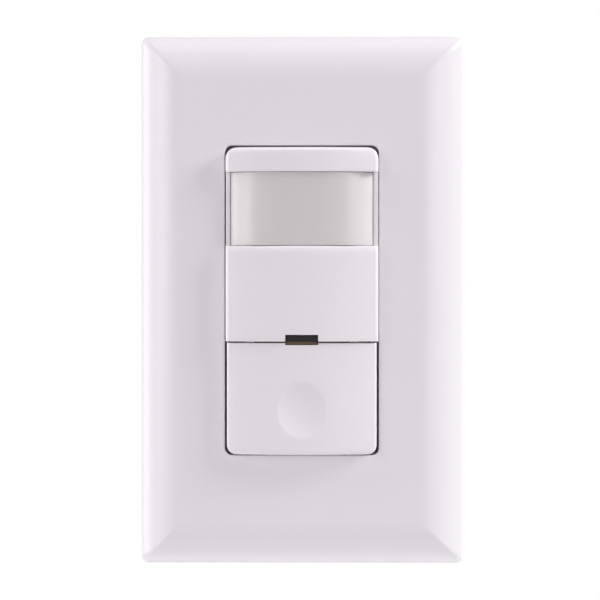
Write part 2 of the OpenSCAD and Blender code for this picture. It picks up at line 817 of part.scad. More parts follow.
// White moulding with the top band, the rails beside the lens and the middle panel
module front_housing() {
    color("white") on_wall() {
        difference() {
            union() {
                difference() {
                    union() {
                        slab(front_w + 2 * flange_lip, 2 * (front_top + flange_lip), face_corner + flange_lip,
                            seat_z, seat_z + flange_t);
                        face_form();
                        block([-tub_half, tub_bottom, seat_z], [tub_half, tub_top, tub_z]);
                    }
                    along_y(panel_bottom, front_top - side_wall)
                        crowned(inner_half, seat_z - cut, ceiling_z, face_crown_r - face_wall, inner_corner);
                    block([-tub_half + tub_wall, tub_bottom + tub_wall, seat_z - cut],
                        [tub_half - tub_wall, panel_bottom + cut, tub_z + cut]);
                }
                for (y = [window_top, window_bottom - cheek_t])
                    along_y(y, y + cheek_t)
                        difference() {
                            crowned(inner_half + side_wall / 2, rail_floor, ceiling_z + face_wall / 2,
                                face_crown_r, inner_corner);
                            lens_area(lens_flange_z, lens_clear, front_w, seat_z);
                        }
                for (side = [-1, 1]) {
                    intersection() {
                        slab(front_w - boss_inset, 2 * front_top - boss_inset, face_corner, seat_z, boss_z);
                        rod_z([side * screw_x, screw_top_y], boss_r, seat_z, boss_z);
                    }
                    rod_z([side * screw_x, screw_bottom_y], boss_r, seat_z, boss_z);
                    rod_z([side * holddown_x, holddown_y], holddown_r, control_z, side_ceiling_z);
                    block([side > 0 ? pivot_in : -inner_half - touch, pivot_y - cheek_y, pivot_z - cheek_z],
                        [side > 0 ? inner_half + touch : -pivot_in, pivot_y + cheek_y, side_ceiling_z]);
                }
            }
            window_cut();
            block([-indicator_half, panel_bottom - cut, indicator_front - shoulder_t - cut],
                [indicator_half, panel_bottom + indicator_up, face_z + cut]);
            for (side = [-1, 1]) {
                rod_x(pivot_y, pivot_z, pivot_r + pivot_clear, side > 0 ? pivot_in - cut : -pivot_out,
                    side > 0 ? pivot_out : -pivot_in + cut);
                for (y = [screw_bottom_y, screw_top_y])
                    rod_z([side * screw_x, y], housing_screw_r + screw_clear,
                        seat_z - cut, boss_z - boss_top);
            }
        }
    }
}

// Milky lens, flat in the middle and steep at the sides, ribbed inside, with a flange at each end
module sensor_lens() {
    color("whitesmoke") on_wall() {
        difference() {
            union() {
                along_y(window_bottom + lens_clear, window_top - lens_clear)
                    lens_area(lens_z, 0, lens_half, seat_z);
                along_y(window_bottom - lens_tuck, window_top + lens_tuck)
                    lens_area(lens_flange_z, 0, lens_tuck_half, seat_z);
            }
            along_y(window_bottom + lens_clear + lens_wall, window_top - lens_clear - lens_wall) {
                lens_area(lens_z, -lens_wall, lens_half + cut, seat_z - cut);
                for (k = [0:rib_count - 1])
                    translate([groove_x(k) - rib_w / 2, seat_z - cut])
                        square([rib_w, lens_groove_z(groove_x(k)) - seat_z + cut]);
            }
            along_y(window_bottom - lens_tuck - cut, window_top + lens_tuck + cut)
                lens_area(lens_flange_z, -lens_wall, lens_half + cut, seat_z - cut);
        }
    }
}

// Smoked window with a stem that carries light to and from the control board
module indicator_light_pipe() {
    half = indicator_half - indicator_clear;
    top = panel_bottom + indicator_up - indicator_clear;
    shoulder_z = ceiling_z - shoulder_gap;
    color("dimgray") on_wall() {
        block([-half, button_top - indicator_down + indicator_clear, shoulder_z],
            [half, top, indicator_front]);
        block([-half, top - stem_t, control_z + lamp_h + lamp_gap], [half, top, indicator_front]);
        block([-half - shoulder_lip, top - stem_t, shoulder_z - shoulder_t],
            [half + shoulder_lip, top + shoulder_lip, shoulder_z]);
    }
}

// Outline of the button with round lower corners
module button_outline(inset) {
    h = button_top - button_bottom;
    intersection() {
        translate([0, button_top])
            rounded_rect(button_w - 2 * inset, 2 * (h - inset), face_corner - inset);
        translate([-button_w, button_bottom]) square([2 * button_w, h - inset]);
    }
}

// Push button with a finger dimple, hinged at its upper edge
module push_button() {
    dimple_r = (pow(dimple_d / 2, 2) + pow(dimple_depth, 2)) / (2 * dimple_depth);
    color("ivory") on_wall() {
        difference() {
            intersection() {
                translate([0, 0, skirt_z]) linear_extrude(button_depth + cut) button_outline(0);
                along_y(button_bottom - cut, button_top + cut)
                    crowned(button_w / 2, skirt_z, button_z, face_crown_r, button_edge);
                along_x(-button_w, button_w)
                    mirror([1, 0])
                        soft_end(-button_top, -button_bottom, skirt_z, button_z, button_edge);
            }
            intersection() {
                translate([0, 0, skirt_z - cut]) linear_extrude(button_depth) button_outline(button_skirt);
                along_y(button_bottom, button_top)
                    crowned(button_w / 2 - button_skirt, skirt_z - cut, button_z - button_wall,
                        face_crown_r - button_wall, inner_corner);
            }
            translate([0, button_bottom + dimple_up, button_z - dimple_depth + dimple_r])
                sphere(dimple_r, $fn = 180);
            block([-indicator_half, button_top - indicator_down, indicator_front - shoulder_t - cut],
                [indicator_half, button_top + cut, face_z]);
        }
        translate([0, post_y, control_z + tact_h + touch]) {
            translate([0, 0, post_r]) sphere(post_r);
            translate([0, 0, post_r])
                cylinder(r = post_r, h = button_z - button_wall - control_z - tact_h - post_r + post_root);
        }
        for (side = [-1, 1]) {
            inside = pivot_in - arm_gap - arm_w;
            outside = pivot_in - arm_gap;
            block([side > 0 ? inside : -outside, button_top - button_skirt / 2, pivot_z - arm_t / 2],
                [side > 0 ? outside : -inside, pivot_y, pivot_z + arm_t / 2]);
            rod_x(pivot_y, pivot_z, arm_t / 2, side > 0 ? inside : -outside, side > 0 ? outside : -inside);
            rod_x(pivot_y, pivot_z, pivot_r, side > 0 ? outside - arm_w / 2 : -pivot_out + arm_gap,
                side > 0 ? pivot_out - arm_gap : -outside + arm_w / 2);
            block([side * post_r - web_t / 2, post_y, button_z - button_wall - web_h],
                [side * post_r + web_t / 2, button_top - button_skirt / 2,
                    button_z - button_wall + post_root]);
        }
    }
}

// Outline of a board: full width above, a tongue between the lower pillars
module board_outline(half) {
    translate([-half, board_shoulder]) square([2 * half, board_top - board_shoulder]);
    translate([-tongue_half, board_bottom]) square([2 * tongue_half, board_shoulder - board_bottom + cut]);
}

// Places of the header pins
function header_pins_at() =
    [for (k = [0:header_count - 1]) [(k - (header_count - 1) / 2) * header_pitch, header_y]];

// Places of the infrared sensor's leads
function pir_leads_at() =
    [for (turn = [45, 135, 270]) [pir_lead_ring * cos(turn), window_mid + pir_lead_ring * sin(turn)]];

// Places of the tactile switch's legs
function tact_legs_at() =
    [for (sx = [-1, 1], sy = [-1, 1]) [sx * (tact_w / 2 + tact_leg_t / 2), post_y + sy * tact_leg_y]];

// Front board with the sensor, the lamp and the tactile switch
module control_board() {
    color("seagreen") on_wall() {
        difference() {
            translate([0, 0, control_z - board_t]) linear_extrude(board_t)
                difference() {
                    board_outline(control_half);
                    translate([pocket_floor - pocket_wall - notch_gap,
                        ground_y - pocket_w / 2 - pocket_wall - notch_gap])
                        square([control_half, pocket_w + 2 * (pocket_wall + notch_gap)]);
                }
            for (p = header_pins_at())
                rod_z(p, header_pin_r + lead_clear, control_z - board_t - cut, control_z + cut);
            for (p = pir_leads_at())
                rod_z(p, pir_lead_r + lead_clear, control_z - board_t - cut, control_z + cut);
        }
    }
}

// Plastic ring that the infrared sensor stands in
module pir_holder() {
    color("black") on_wall() {
        difference() {
            rod_z([0, window_mid], pir_base_r + holder_gap + holder_wall, control_z, pir_z + holder_rim);
            rod_z([0, window_mid], pir_base_r + holder_gap, pir_z, pir_z + holder_rim + cut);
            for (p = pir_leads_at())
                rod_z(p, pir_lead_r + lead_clear, control_z - cut, pir_z + cut);
        }
    }
}

// Metal can of the infrared sensor
module pir_can() {
    color("silver") on_wall() {
        difference() {
            union() {
                rod_z([0, window_mid], pir_base_r, pir_z, pir_z + pir_base_h);
                rod_z([0, window_mid], pir_can_r, pir_z, pir_top);
            }
            block([-pir_filter_w / 2, window_mid - pir_filter_h / 2, pir_top - pir_filter_t],
                [pir_filter_w / 2, window_mid + pir_filter_h / 2, pir_top + cut]);
        }
    }
}

// Dark filter window in the top of the infrared sensor
module pir_filter() {
    color("black") on_wall()
        block([-pir_filter_w / 2, window_mid - pir_filter_h / 2, pir_top - pir_filter_t],
            [pir_filter_w / 2, window_mid + pir_filter_h / 2, pir_top]);
}

// Three leads of the infrared sensor, soldered through the control board
module pir_leads() {
    color("silver") on_wall()
        for (p = pir_leads_at())
            rod_z(p, pir_lead_r, control_z - board_t - lead_out, pir_z);
}

// Small lamp behind the indicator window
module indicator_lamp() {
    color("palegreen") on_wall()
        translate([-lamp_x, lamp_y, control_z]) {
            block([-lamp_l / 2, -lamp_w / 2, 0], [lamp_l / 2, lamp_w / 2, lamp_h / 2]);
            block([-lamp_dome_l / 2, -lamp_dome_w / 2, 0], [lamp_dome_l / 2, lamp_dome_w / 2, lamp_h]);
        }
}

// Daylight sensor behind the indicator window
module light_sensor() {
    color("gold") on_wall()
        translate([lamp_x, lamp_y, control_z]) {
            block([-lamp_l / 2, -lamp_w / 2, 0], [lamp_l / 2, lamp_w / 2, lamp_h / 2]);
            cylinder(r = lamp_dome_w / 2, h = lamp_h);
        }
}

// Controller chip with two rows of legs
module controller_chip() {
    color("black") on_wall()
        translate([chip_at[0], chip_at[1], control_z]) {
            block([-chip_l / 2, -chip_w / 2, chip_lift], [chip_l / 2, chip_w / 2, chip_lift + chip_h]);
            for (k = [0:chip_legs - 1], side = [-1, 1])
                translate([(k - (chip_legs - 1) / 2) * chip_pitch,
                    side * (chip_w + chip_leg_l - chip_leg_w) / 2, 0])
                    block([-chip_leg_w / 2, -chip_leg_l / 2, 0],
                        [chip_leg_w / 2, chip_leg_l / 2, chip_leg_h]);
        }
}

// Base of the tactile switch with a pocket for its plunger
module tact_switch_base() {
    color("black") on_wall() {
        difference() {
            block([-tact_w / 2, post_y - tact_w / 2, control_z],
                [tact_w / 2, post_y + tact_w / 2, control_z + tact_base_h]);
            rod_z([0, post_y], tact_pocket_r, control_z + tact_base_h - tact_pocket_h,
                control_z + tact_base_h + cut);
        }
    }
}

// Sheet metal cover of the tactile switch with its four legs on the board
module tact_switch_cover() {
    color("silver") on_wall() {
        difference() {
            block([-tact_w / 2 - tact_leg_t, post_y - tact_w / 2, control_z + tact_base_h],
                [tact_w / 2 + tact_leg_t, post_y + tact_w / 2, control_z + tact_base_h + tact_cover_t]);
            rod_z([0, post_y], tact_r + tact_clear, control_z, control_z + tact_h);
        }
        for (p = tact_legs_at())
            block([p[0] - tact_leg_t / 2, p[1] - tact_leg_w / 2, control_z],
                [p[0] + tact_leg_t / 2, p[1] + tact_leg_w / 2, control_z + tact_base_h + tact_cover_t]);
    }
}

// Plunger of the tactile switch, held in by a collar
module tact_switch_plunger() {
    collar_top = control_z + tact_base_h - touch;
    color("ivory") on_wall() {
        rod_z([0, post_y], tact_collar_r, collar_top - tact_collar_h, collar_top);
        rod_z([0, post_y], tact_r, collar_top - tact_collar_h, control_z + tact_h);
    }
}

// Plastic strip of the board header
module board_header() {
    color("black") on_wall() {
        difference() {
            block([-header_count * header_pitch / 2, header_y - header_w / 2, power_z],
                [header_count * header_pitch / 2, header_y + header_w / 2, power_z + header_h]);
            for (p = header_pins_at())
                rod_z(p, header_pin_r + lead_clear, power_z - cut, power_z + header_h + cut);
        }
    }
}

// Pins that join the two boards
module header_pins() {
    color("gold") on_wall()
        for (p = header_pins_at())
            rod_z(p, header_pin_r, power_z - board_t - lead_out, control_z + header_pin_out);
}

// Rear board with the relay and the power supply
module power_board() {
    color("darkgreen") on_wall() {
        difference() {
            translate([0, 0, power_z - board_t]) linear_extrude(board_t) board_outline(power_half);
            for (p = power_leads)
                rod_z(p, lead_r + lead_clear, power_z - board_t - cut, power_z + cut);
            for (p = header_pins_at())
                rod_z(p, header_pin_r + lead_clear, power_z - board_t - cut, power_z + cut);
        }
    }
}

// Leads of one part on the power board
module leads(at, list, top) {
    for (p = list)
        rod_z(at + p, lead_r, power_z - board_t - lead_out, power_z + top);
}

// Box-shaped part on the power board with its leads
module boxed_part(at, size, list) {
    block([at[0] - size[0] / 2, at[1] - size[1] / 2, power_z],
        [at[0] + size[0] / 2, at[1] + size[1] / 2, power_z + size[2]]);
    leads(at, list, cut);
}

// Relay that switches the lamp circuit
module relay() {
    color("royalblue") on_wall() boxed_part(relay_at, relay_size, relay_leads);
}

// Film capacitor of the power supply
module film_capacitor() {
    color("goldenrod") on_wall() boxed_part(film_at, film_size, film_leads);
}

// Two electrolytic capacitors
module electrolytic_capacitors() {
    color("midnightblue") on_wall()
        for (at = can_at) {
            rod_z(at, can_r, power_z, power_z + can_h);
            leads(at, can_leads, cut);
        }
}

// Disc varistor standing on its leads
module varistor() {
    color("steelblue") on_wall() {
        rod_x(varistor_at[1], power_z + varistor_lift + varistor_r, varistor_r,
            varistor_at[0] - varistor_t / 2, varistor_at[0] + varistor_t / 2);
        leads(varistor_at, varistor_leads, varistor_lift + varistor_r);
    }
}

// Fuse resistor lying over the board on bent leads
module fuse_resistor() {
    axis_z = power_z + fuse_lift + fuse_r;
    color("tan") on_wall() {
        translate([fuse_at[0], fuse_at[1] + fuse_l / 2, axis_z])
            rotate([90, 0, 0]) cylinder(r = fuse_r, h = fuse_l);
        translate([fuse_at[0], fuse_at[1] + fuse_leads[1][1] + lead_r, axis_z])
            rotate([90, 0, 0]) cylinder(r = fuse_lead_r, h = 2 * (fuse_leads[1][1] + lead_r));
        leads(fuse_at, fuse_leads, fuse_lift + fuse_r);
    }
}

// Drum choke of the power supply
module choke() {
    color("dimgray") on_wall() {
        rod_z(choke_at, choke_r, power_z, power_z + choke_flange);
        rod_z(choke_at, choke_waist_r, power_z, power_z + choke_h);
        rod_z(choke_at, choke_r, power_z + choke_h - choke_flange, power_z + choke_h);
        leads(choke_at, choke_leads, cut);
    }
}

// Bridge rectifier
module bridge_rectifier() {
    color("black") on_wall() boxed_part(bridge_at, bridge_size, bridge_leads);
}

// Pocket for one terminal, cut from the side; grown by the pocket wall it is the block around it
module pocket(side, y, low, high, grow) {
    inside = pocket_floor - grow;
    outside = rear_w / 2 + cut;
    block([side > 0 ? inside : -outside, y - pocket_w / 2 - grow, low - grow],
        [side > 0 ? outside : -inside, y + pocket_w / 2 + grow, high + grow]);
}

// Black box behind the strap that holds the boards and the terminals
module rear_housing() {
    color("dimgray") on_wall() {
        difference() {
            intersection() {
                slab(rear_w, rear_h, rear_corner, -rear_depth - cut, 0);
                along_y(-rear_h, rear_h) rear_profile(rear_w / 2);
                along_x(-rear_w, rear_w) rear_profile(rear_h / 2);
            }
            difference() {
                slab(rear_w - 2 * rear_wall, rear_h - 2 * rear_wall, inner_corner,
                    -rear_depth + rear_wall, cut);
                for (t = terminals)
                    pocket(t[0], t[1], -rear_depth, -rear_depth + pocket_l, pocket_wall);
                pocket(1, ground_y, -pocket_l + cut, cut, pocket_wall);
                for (side = [-1, 1]) {
                    for (y = [screw_bottom_y, screw_top_y])
                        rod_z([side * screw_x, y], pillar_r, -rear_depth, 2 * cut);
                    for (y = ledge_at)
                        translate([side * (control_half + ledge_out), y, -rear_depth])
                            block([-ledge_x / 2, -ledge_y / 2, 0],
                                [ledge_x / 2, ledge_y / 2, rear_depth + control_z - board_t]);
                }
                for (x = [-standoff_x, standoff_x], y = [standoff_bottom, standoff_top])
                    rod_z([x, y], standoff_r, -rear_depth, power_z - board_t);
            }
            for (t = terminals) {
                pocket(t[0], t[1], -rear_depth - cut, -rear_depth + pocket_l, 0);
                terminal_passage(t[0], t[1], terminal_z);
                tail_passage(t[0], t[1]);
            }
            pocket(1, ground_y, -pocket_l + cut, 2 * cut, 0);
            terminal_passage(1, ground_y, ground_z);
            for (side = [-1, 1], y = [screw_bottom_y, screw_top_y]) {
                rod_z([side * screw_x, y], housing_screw_r + housing_pass, -rear_depth - cut, cut);
                rod_z([side * screw_x, y], housing_head_r + housing_head_gap,
                    -rear_depth - cut, counterbore_z);
            }
        }
    }
}

// Side profile of the rear housing with round back edges
module rear_profile(half) {
    translate([-half, -rear_depth + rear_edge]) square([2 * half, rear_depth - rear_edge]);
    translate([-half + rear_edge, -rear_depth]) square([2 * (half - rear_edge), rear_depth]);
    for (side = [-1, 1])
        translate([side * (half - rear_edge), -rear_depth + rear_edge]) circle(rear_edge);
}

// Hole for a terminal screw's end in the wall of its pocket
module terminal_passage(side, y, z) {
    near = pocket_floor - pocket_wall - cut;
    far = pocket_floor + cut;
    rod_x(y, z, shank_hole_r, side > 0 ? near : -far, side > 0 ? far : -near);
}

// Slot for a terminal's tail in the wall of its pocket
module tail_passage(side, y) {
    near = pocket_floor - pocket_wall - cut;
    far = pocket_floor + cut;
    block([side > 0 ? near : -far, y + tail_y - tail_w / 2 - tail_gap, power_z - tail_gap],
        [side > 0 ? far : -near, y + tail_y + tail_w / 2 + tail_gap, power_z + terminal_t + tail_gap]);
}

// Long screws that join the rear housing, the strap and the front housing
module housing_screws() {
    color("silver") on_wall()
        for (side = [-1, 1], y = [screw_bottom_y, screw_top_y])
            difference() {
                union() {
                    rod_z([side * screw_x, y], housing_screw_r, counterbore_z - cut,
                        boss_z - boss_top - screw_end_gap);
                    rod_z([side * screw_x, y], housing_head_r, counterbore_z - housing_head_h, counterbore_z);
                }
                translate([side * screw_x, y, counterbore_z - housing_head_h])
                    for (turn = [0, 90])
                        rotate([0, 0, turn])
                            block([-housing_head_r * recess_share, -recess_w / 2, -cut],
                                [housing_head_r * recess_share, recess_w / 2, recess_depth]);
            }
}

// Brass plates of the line, load and neutral terminals, each with a tail on the power board
module terminal_plates() {
    color("goldenrod") on_wall()
        for (t = terminals)
            mirror([t[0] > 0 ? 0 : 1, 0, 0])
                difference() {
                    union() {
                        block([pocket_floor, t[1] - terminal_w / 2, -rear_depth + terminal_margin],
                            [pocket_floor + terminal_t, t[1] + terminal_w / 2,
                                -rear_depth + terminal_margin + terminal_l]);
                        block([tail_end, t[1] + tail_y - tail_w / 2, power_z],
                            [pocket_floor + terminal_t / 2, t[1] + tail_y + tail_w / 2,
                                power_z + terminal_t]);
                    }
                    rod_x(t[1], terminal_z, screw_r + screw_clear, pocket_floor - cut / 2,
                        pocket_floor + terminal_t + cut);
                }
}

// Clamps between the terminal screw heads and the wires
module wire_clamps() {
    seat = pocket_floor + terminal_t + wire_space;
    color("lightgray") on_wall()
        for (t = terminals)
            mirror([t[0] > 0 ? 0 : 1, 0, 0])
                difference() {
                    block([seat, t[1] - clamp_w / 2, terminal_z - clamp_w / 2],
                        [seat + clamp_t, t[1] + clamp_w / 2, terminal_z + clamp_w / 2]);
                    rod_x(t[1], terminal_z, screw_r + screw_clear, seat - cut, seat + clamp_t + cut);
                }
}

// Screw of one line, load or neutral terminal
module clamp_screw(t) {
    mirror([t[0] > 0 ? 0 : 1, 0, 0])
        terminal_screw(t[1], terminal_z, pocket_floor + terminal_t + wire_space + clamp_t, shank_end);
}

// Brass screws of the line and load terminals
module hot_terminal_screws() {
    color("gold") on_wall() {
        clamp_screw(terminals[0]);
        clamp_screw(terminals[1]);
    }
}

// Silver screw of the neutral terminal
module neutral_terminal_screw() {
    color("silver") on_wall() clamp_screw(terminals[2]);
}

wall_plate();
sub_plate();
sub_plate_screws();
mounting_strap();
box_screws();
ground_screw();
front_housing();
sensor_lens();
indicator_light_pipe();
push_button();
control_board();
pir_holder();
pir_can();
pir_filter();
pir_leads();
indicator_lamp();
light_sensor();
controller_chip();
tact_switch_base();
tact_switch_cover();
tact_switch_plunger();
board_header();
header_pins();
power_board();
relay();
film_capacitor();
electrolytic_capacitors();
varistor();
fuse_resistor();
choke();
bridge_rectifier();
rear_housing();
housing_screws();
terminal_plates();
wire_clamps();
hot_terminal_screws();
neutral_terminal_screw();
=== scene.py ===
import math
import bmesh
import bpy
from mathutils import Matrix, Vector


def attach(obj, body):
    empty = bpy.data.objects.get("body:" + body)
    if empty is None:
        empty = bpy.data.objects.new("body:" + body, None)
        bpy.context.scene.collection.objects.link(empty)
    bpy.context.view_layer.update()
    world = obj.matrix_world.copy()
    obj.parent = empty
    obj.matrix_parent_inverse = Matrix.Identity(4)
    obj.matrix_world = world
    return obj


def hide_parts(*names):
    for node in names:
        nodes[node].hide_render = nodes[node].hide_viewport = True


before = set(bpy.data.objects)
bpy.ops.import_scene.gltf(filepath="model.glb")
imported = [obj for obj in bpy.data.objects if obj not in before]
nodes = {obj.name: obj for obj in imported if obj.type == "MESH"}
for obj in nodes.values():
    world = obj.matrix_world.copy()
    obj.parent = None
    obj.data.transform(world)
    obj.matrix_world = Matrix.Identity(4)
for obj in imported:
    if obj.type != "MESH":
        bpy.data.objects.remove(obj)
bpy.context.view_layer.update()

# Power board: a glass-fibre circuit board with green solder mask, drilled for the leads of its parts.
# It lies on four standoffs at the back of the rear housing.
# Copper tracks under the mask show as slightly lighter lines.
MM = 0.001
BOARD_EDGE = 0.1 * MM
MASK_GREEN = (0.02, 0.12, 0.05)
MASK_PATCH = (0.03, 0.17, 0.07)
POUR_GREEN = (0.03, 0.15, 0.06)
TRACK_GREEN = (0.07, 0.27, 0.1)
# Colour sockets of a Mix node, by number, because its other sockets have the same names
MIX_SHARE, MIX_LOW, MIX_HIGH, MIX_COLOUR = 0, 6, 7, 2


def new_group(name, inputs, outputs):
    group = bpy.data.node_groups.new(name, "ShaderNodeTree")
    for label, kind, value in inputs:
        socket = group.interface.new_socket(label, in_out="INPUT", socket_type=kind)
        socket.default_value = value
    for label, kind in outputs:
        group.interface.new_socket(label, in_out="OUTPUT", socket_type=kind)
    start = group.nodes.new("NodeGroupInput")
    end = group.nodes.new("NodeGroupOutput")
    return group, start, end


def add(tree, kind, **settings):
    node = tree.nodes.new(kind)
    for key, value in settings.items():
        setattr(node, key, value)
    return node


def blend_colours(tree, factor, low, high):
    mix = add(tree, "ShaderNodeMix", data_type="RGBA")
    for socket, value in ((MIX_SHARE, factor), (MIX_LOW, low), (MIX_HIGH, high)):
        tree.links.new(value, mix.inputs[socket])
    return mix.outputs[MIX_COLOUR]


def spread(tree, value, low, high):
    remap = add(tree, "ShaderNodeMapRange", interpolation_type="SMOOTHSTEP")
    remap.inputs["From Min"].default_value = 0.2
    remap.inputs["From Max"].default_value = 0.8
    tree.links.new(value, remap.inputs["Value"])
    tree.links.new(low, remap.inputs["To Min"])
    tree.links.new(high, remap.inputs["To Max"])
    return remap.outputs["Result"]


def noise(tree, place, detail):
    texture = add(tree, "ShaderNodeTexNoise")
    texture.inputs["Detail"].default_value = detail
    texture.inputs["Scale"].default_value = 1.0
    tree.links.new(place, texture.inputs["Vector"])
    return texture.outputs["Fac"]


def stretched(tree, stretch):
    sized = add(tree, "ShaderNodeVectorMath", operation="MULTIPLY")
    tree.links.new(add(tree, "ShaderNodeTexCoord").outputs["Object"], sized.inputs[0])
    tree.links.new(stretch, sized.inputs[1])
    return sized.outputs[0]


# One effect for every surface: soft patches of tone, uneven gloss and a fine grain that may run one way
surface, take, give = new_group(
    "surface_grain",
    [("Colour", "NodeSocketColor", (0.8, 0.8, 0.8, 1)),
     ("Patch Colour", "NodeSocketColor", (0.75, 0.75, 0.75, 1)),
     ("Patch Size", "NodeSocketVector", (60.0, 60.0, 60.0)),
     ("Grain Size", "NodeSocketVector", (900.0, 900.0, 900.0)),
     ("Gloss Low", "NodeSocketFloat", 0.3),
     ("Gloss High", "NodeSocketFloat", 0.36)],
    [("Colour", "NodeSocketColor"), ("Roughness", "NodeSocketFloat"), ("Height", "NodeSocketFloat")])
patches = noise(surface, stretched(surface, take.outputs["Patch Size"]), detail=3)
fine = noise(surface, stretched(surface, take.outputs["Grain Size"]), detail=2)
surface.links.new(blend_colours(surface, patches, take.outputs["Colour"], take.outputs["Patch Colour"]),
                  give.inputs["Colour"])
surface.links.new(spread(surface, patches, take.outputs["Gloss Low"], take.outputs["Gloss High"]),
                  give.inputs["Roughness"])
surface.links.new(fine, give.inputs["Height"])


def three_ways(size):
    return size if isinstance(size, tuple) else (size, size, size)


# Grain and patches are counted per metre, either one number or three for a finish that runs one way
def grained(name, colour, patch, gloss, grain=900, patches=60, depth=0.01 * MM, metal=0.0):
    finish = bpy.data.materials.new(name)
    finish.use_nodes = True
    tree = finish.node_tree
    shader = tree.nodes["Principled BSDF"]
    shader.inputs["Metallic"].default_value = metal
    effect = add(tree, "ShaderNodeGroup", node_tree=surface)
    effect.inputs["Colour"].default_value = (*colour, 1)
    effect.inputs["Patch Colour"].default_value = (*patch, 1)
    effect.inputs["Patch Size"].default_value = three_ways(patches)
    effect.inputs["Grain Size"].default_value = three_ways(grain)
    effect.inputs["Gloss Low"].default_value = gloss[0]
    effect.inputs["Gloss High"].default_value = gloss[1]
    bump = add(tree, "ShaderNodeBump")
    bump.inputs["Distance"].default_value = depth
    tree.links.new(effect.outputs["Height"], bump.inputs["Height"])
    tree.links.new(effect.outputs["Colour"], shader.inputs["Base Color"])
    tree.links.new(effect.outputs["Roughness"], shader.inputs["Roughness"])
    tree.links.new(bump.outputs["Normal"], shader.inputs["Normal"])
    return finish


def dress(name, finish, rounding):
    part = nodes[name]
    for slot in part.material_slots:
        slot.material = finish
    weld = part.modifiers.new("weld", "WELD")
    weld.merge_threshold = 0.002 * MM
    edges = part.modifiers.new("edges", "BEVEL")
    edges.width = rounding
    edges.segments = 2
    edges.limit_method = "ANGLE"
    edges.angle_limit = math.radians(40)
    edges.miter_outer = "MITER_ARC"
    part.modifiers.new("normals", "WEIGHTED_NORMAL").keep_sharp = True


board_green = grained("board_green", MASK_GREEN, MASK_PATCH, (0.3, 0.42), 2200, 400)
tree = board_green.node_tree
facing = add(tree, "ShaderNodeMapping")
facing.inputs["Rotation"].default_value = (math.pi / 2, 0, 0)
tree.links.new(add(tree, "ShaderNodeTexCoord").outputs["Object"], facing.inputs["Vector"])
tracks = add(tree, "ShaderNodeTexBrick", offset=0.37, squash=0.6)
for label, value in (("Scale", 1 / MM), ("Mortar Size", 0.13), ("Brick Width", 7.4), ("Row Height", 1.6)):
    tracks.inputs[label].default_value = value
for label, colour in (("Color1", MASK_GREEN), ("Color2", POUR_GREEN), ("Mortar", TRACK_GREEN)):
    tracks.inputs[label].default_value = (*colour, 1)
tree.links.new(facing.outputs["Vector"], tracks.inputs["Vector"])
tree.links.new(tracks.outputs["Color"], tree.nodes["Principled BSDF"].inputs["Base Color"])
dress("power_board", board_green, BOARD_EDGE)

# Power parts: relay, film and electrolytic capacitors, varistor, fuse resistor, choke, bridge rectifier.
# Moulded or dipped bodies with tinned leads that are soldered through the power board.
# Nothing of them shows once the housing is closed.
POWER_PART_EDGE = 0.2 * MM
for part_name, part_colour, part_patch, part_gloss in (
        ("relay", (0.02, 0.08, 0.4), (0.03, 0.1, 0.46), (0.32, 0.4)),
        ("film_capacitor", (0.6, 0.4, 0.03), (0.66, 0.46, 0.05), (0.3, 0.4)),
        ("electrolytic_capacitors", (0.015, 0.018, 0.06), (0.02, 0.025, 0.09), (0.25, 0.35)),
        ("varistor", (0.05, 0.16, 0.36), (0.07, 0.2, 0.42), (0.4, 0.5)),
        ("fuse_resistor", (0.5, 0.36, 0.2), (0.56, 0.42, 0.26), (0.4, 0.5)),
        ("choke", (0.05, 0.05, 0.055), (0.08, 0.08, 0.085), (0.5, 0.65)),
        ("bridge_rectifier", (0.012, 0.012, 0.013), (0.02, 0.02, 0.022), (0.4, 0.5))):
    dress(part_name, grained(part_name + "_body", part_colour, part_patch, part_gloss, 1500, 150),
          POWER_PART_EDGE)

# Control board and its parts: infrared sensor, lamp, light sensor, controller chip, tactile switch, header.
# A second green board that carries the sensor and the tactile switch just behind the front.
# A strip of gold-plated pins joins it to the power board.
HEADER_EDGE = 0.1 * MM
CAN_EDGE = 0.12 * MM
LEAD_EDGE = 0.03 * MM
dress("control_board", board_green, BOARD_EDGE)
header_black = grained("header_black", (0.012, 0.012, 0.013), (0.02, 0.02, 0.021), (0.38, 0.5), 1500, 150)
for part_name in ("pir_holder", "tact_switch_base", "board_header", "controller_chip"):
    dress(part_name, header_black, HEADER_EDGE)
for part_name, finish_name, part_colour, part_patch, part_gloss, part_edge in (
        ("pir_filter", "filter_dark", (0.01, 0.008, 0.012), (0.02, 0.014, 0.024), (0.12, 0.2), 0.04),
        ("indicator_lamp", "lamp_body", (0.55, 0.62, 0.5), (0.6, 0.66, 0.54), (0.2, 0.3), 0.06),
        ("light_sensor", "light_sensor_body", (0.5, 0.42, 0.16), (0.56, 0.48, 0.2), (0.15, 0.25), 0.06),
        ("tact_switch_plunger", "plunger_plastic", (0.55, 0.5, 0.4), (0.6, 0.55, 0.45), (0.35, 0.45), 0.1)):
    dress(part_name, grained(finish_name, part_colour, part_patch, part_gloss), part_edge * MM)
nickel = grained("nickel", (0.62, 0.6, 0.56), (0.7, 0.68, 0.64), (0.24, 0.34),
                 (900, 4000, 900), 180, metal=1.0)
for part_name in ("pir_can", "tact_switch_cover"):
    dress(part_name, nickel, CAN_EDGE)
tinned = grained("tinned", (0.7, 0.7, 0.7), (0.78, 0.78, 0.78), (0.3, 0.4), metal=1.0)
dress("pir_leads", tinned, LEAD_EDGE)
pin_gold = grained("pin_gold", (0.85, 0.6, 0.2), (0.9, 0.66, 0.28), (0.2, 0.3), metal=1.0)
dress("header_pins", pin_gold, LEAD_EDGE)

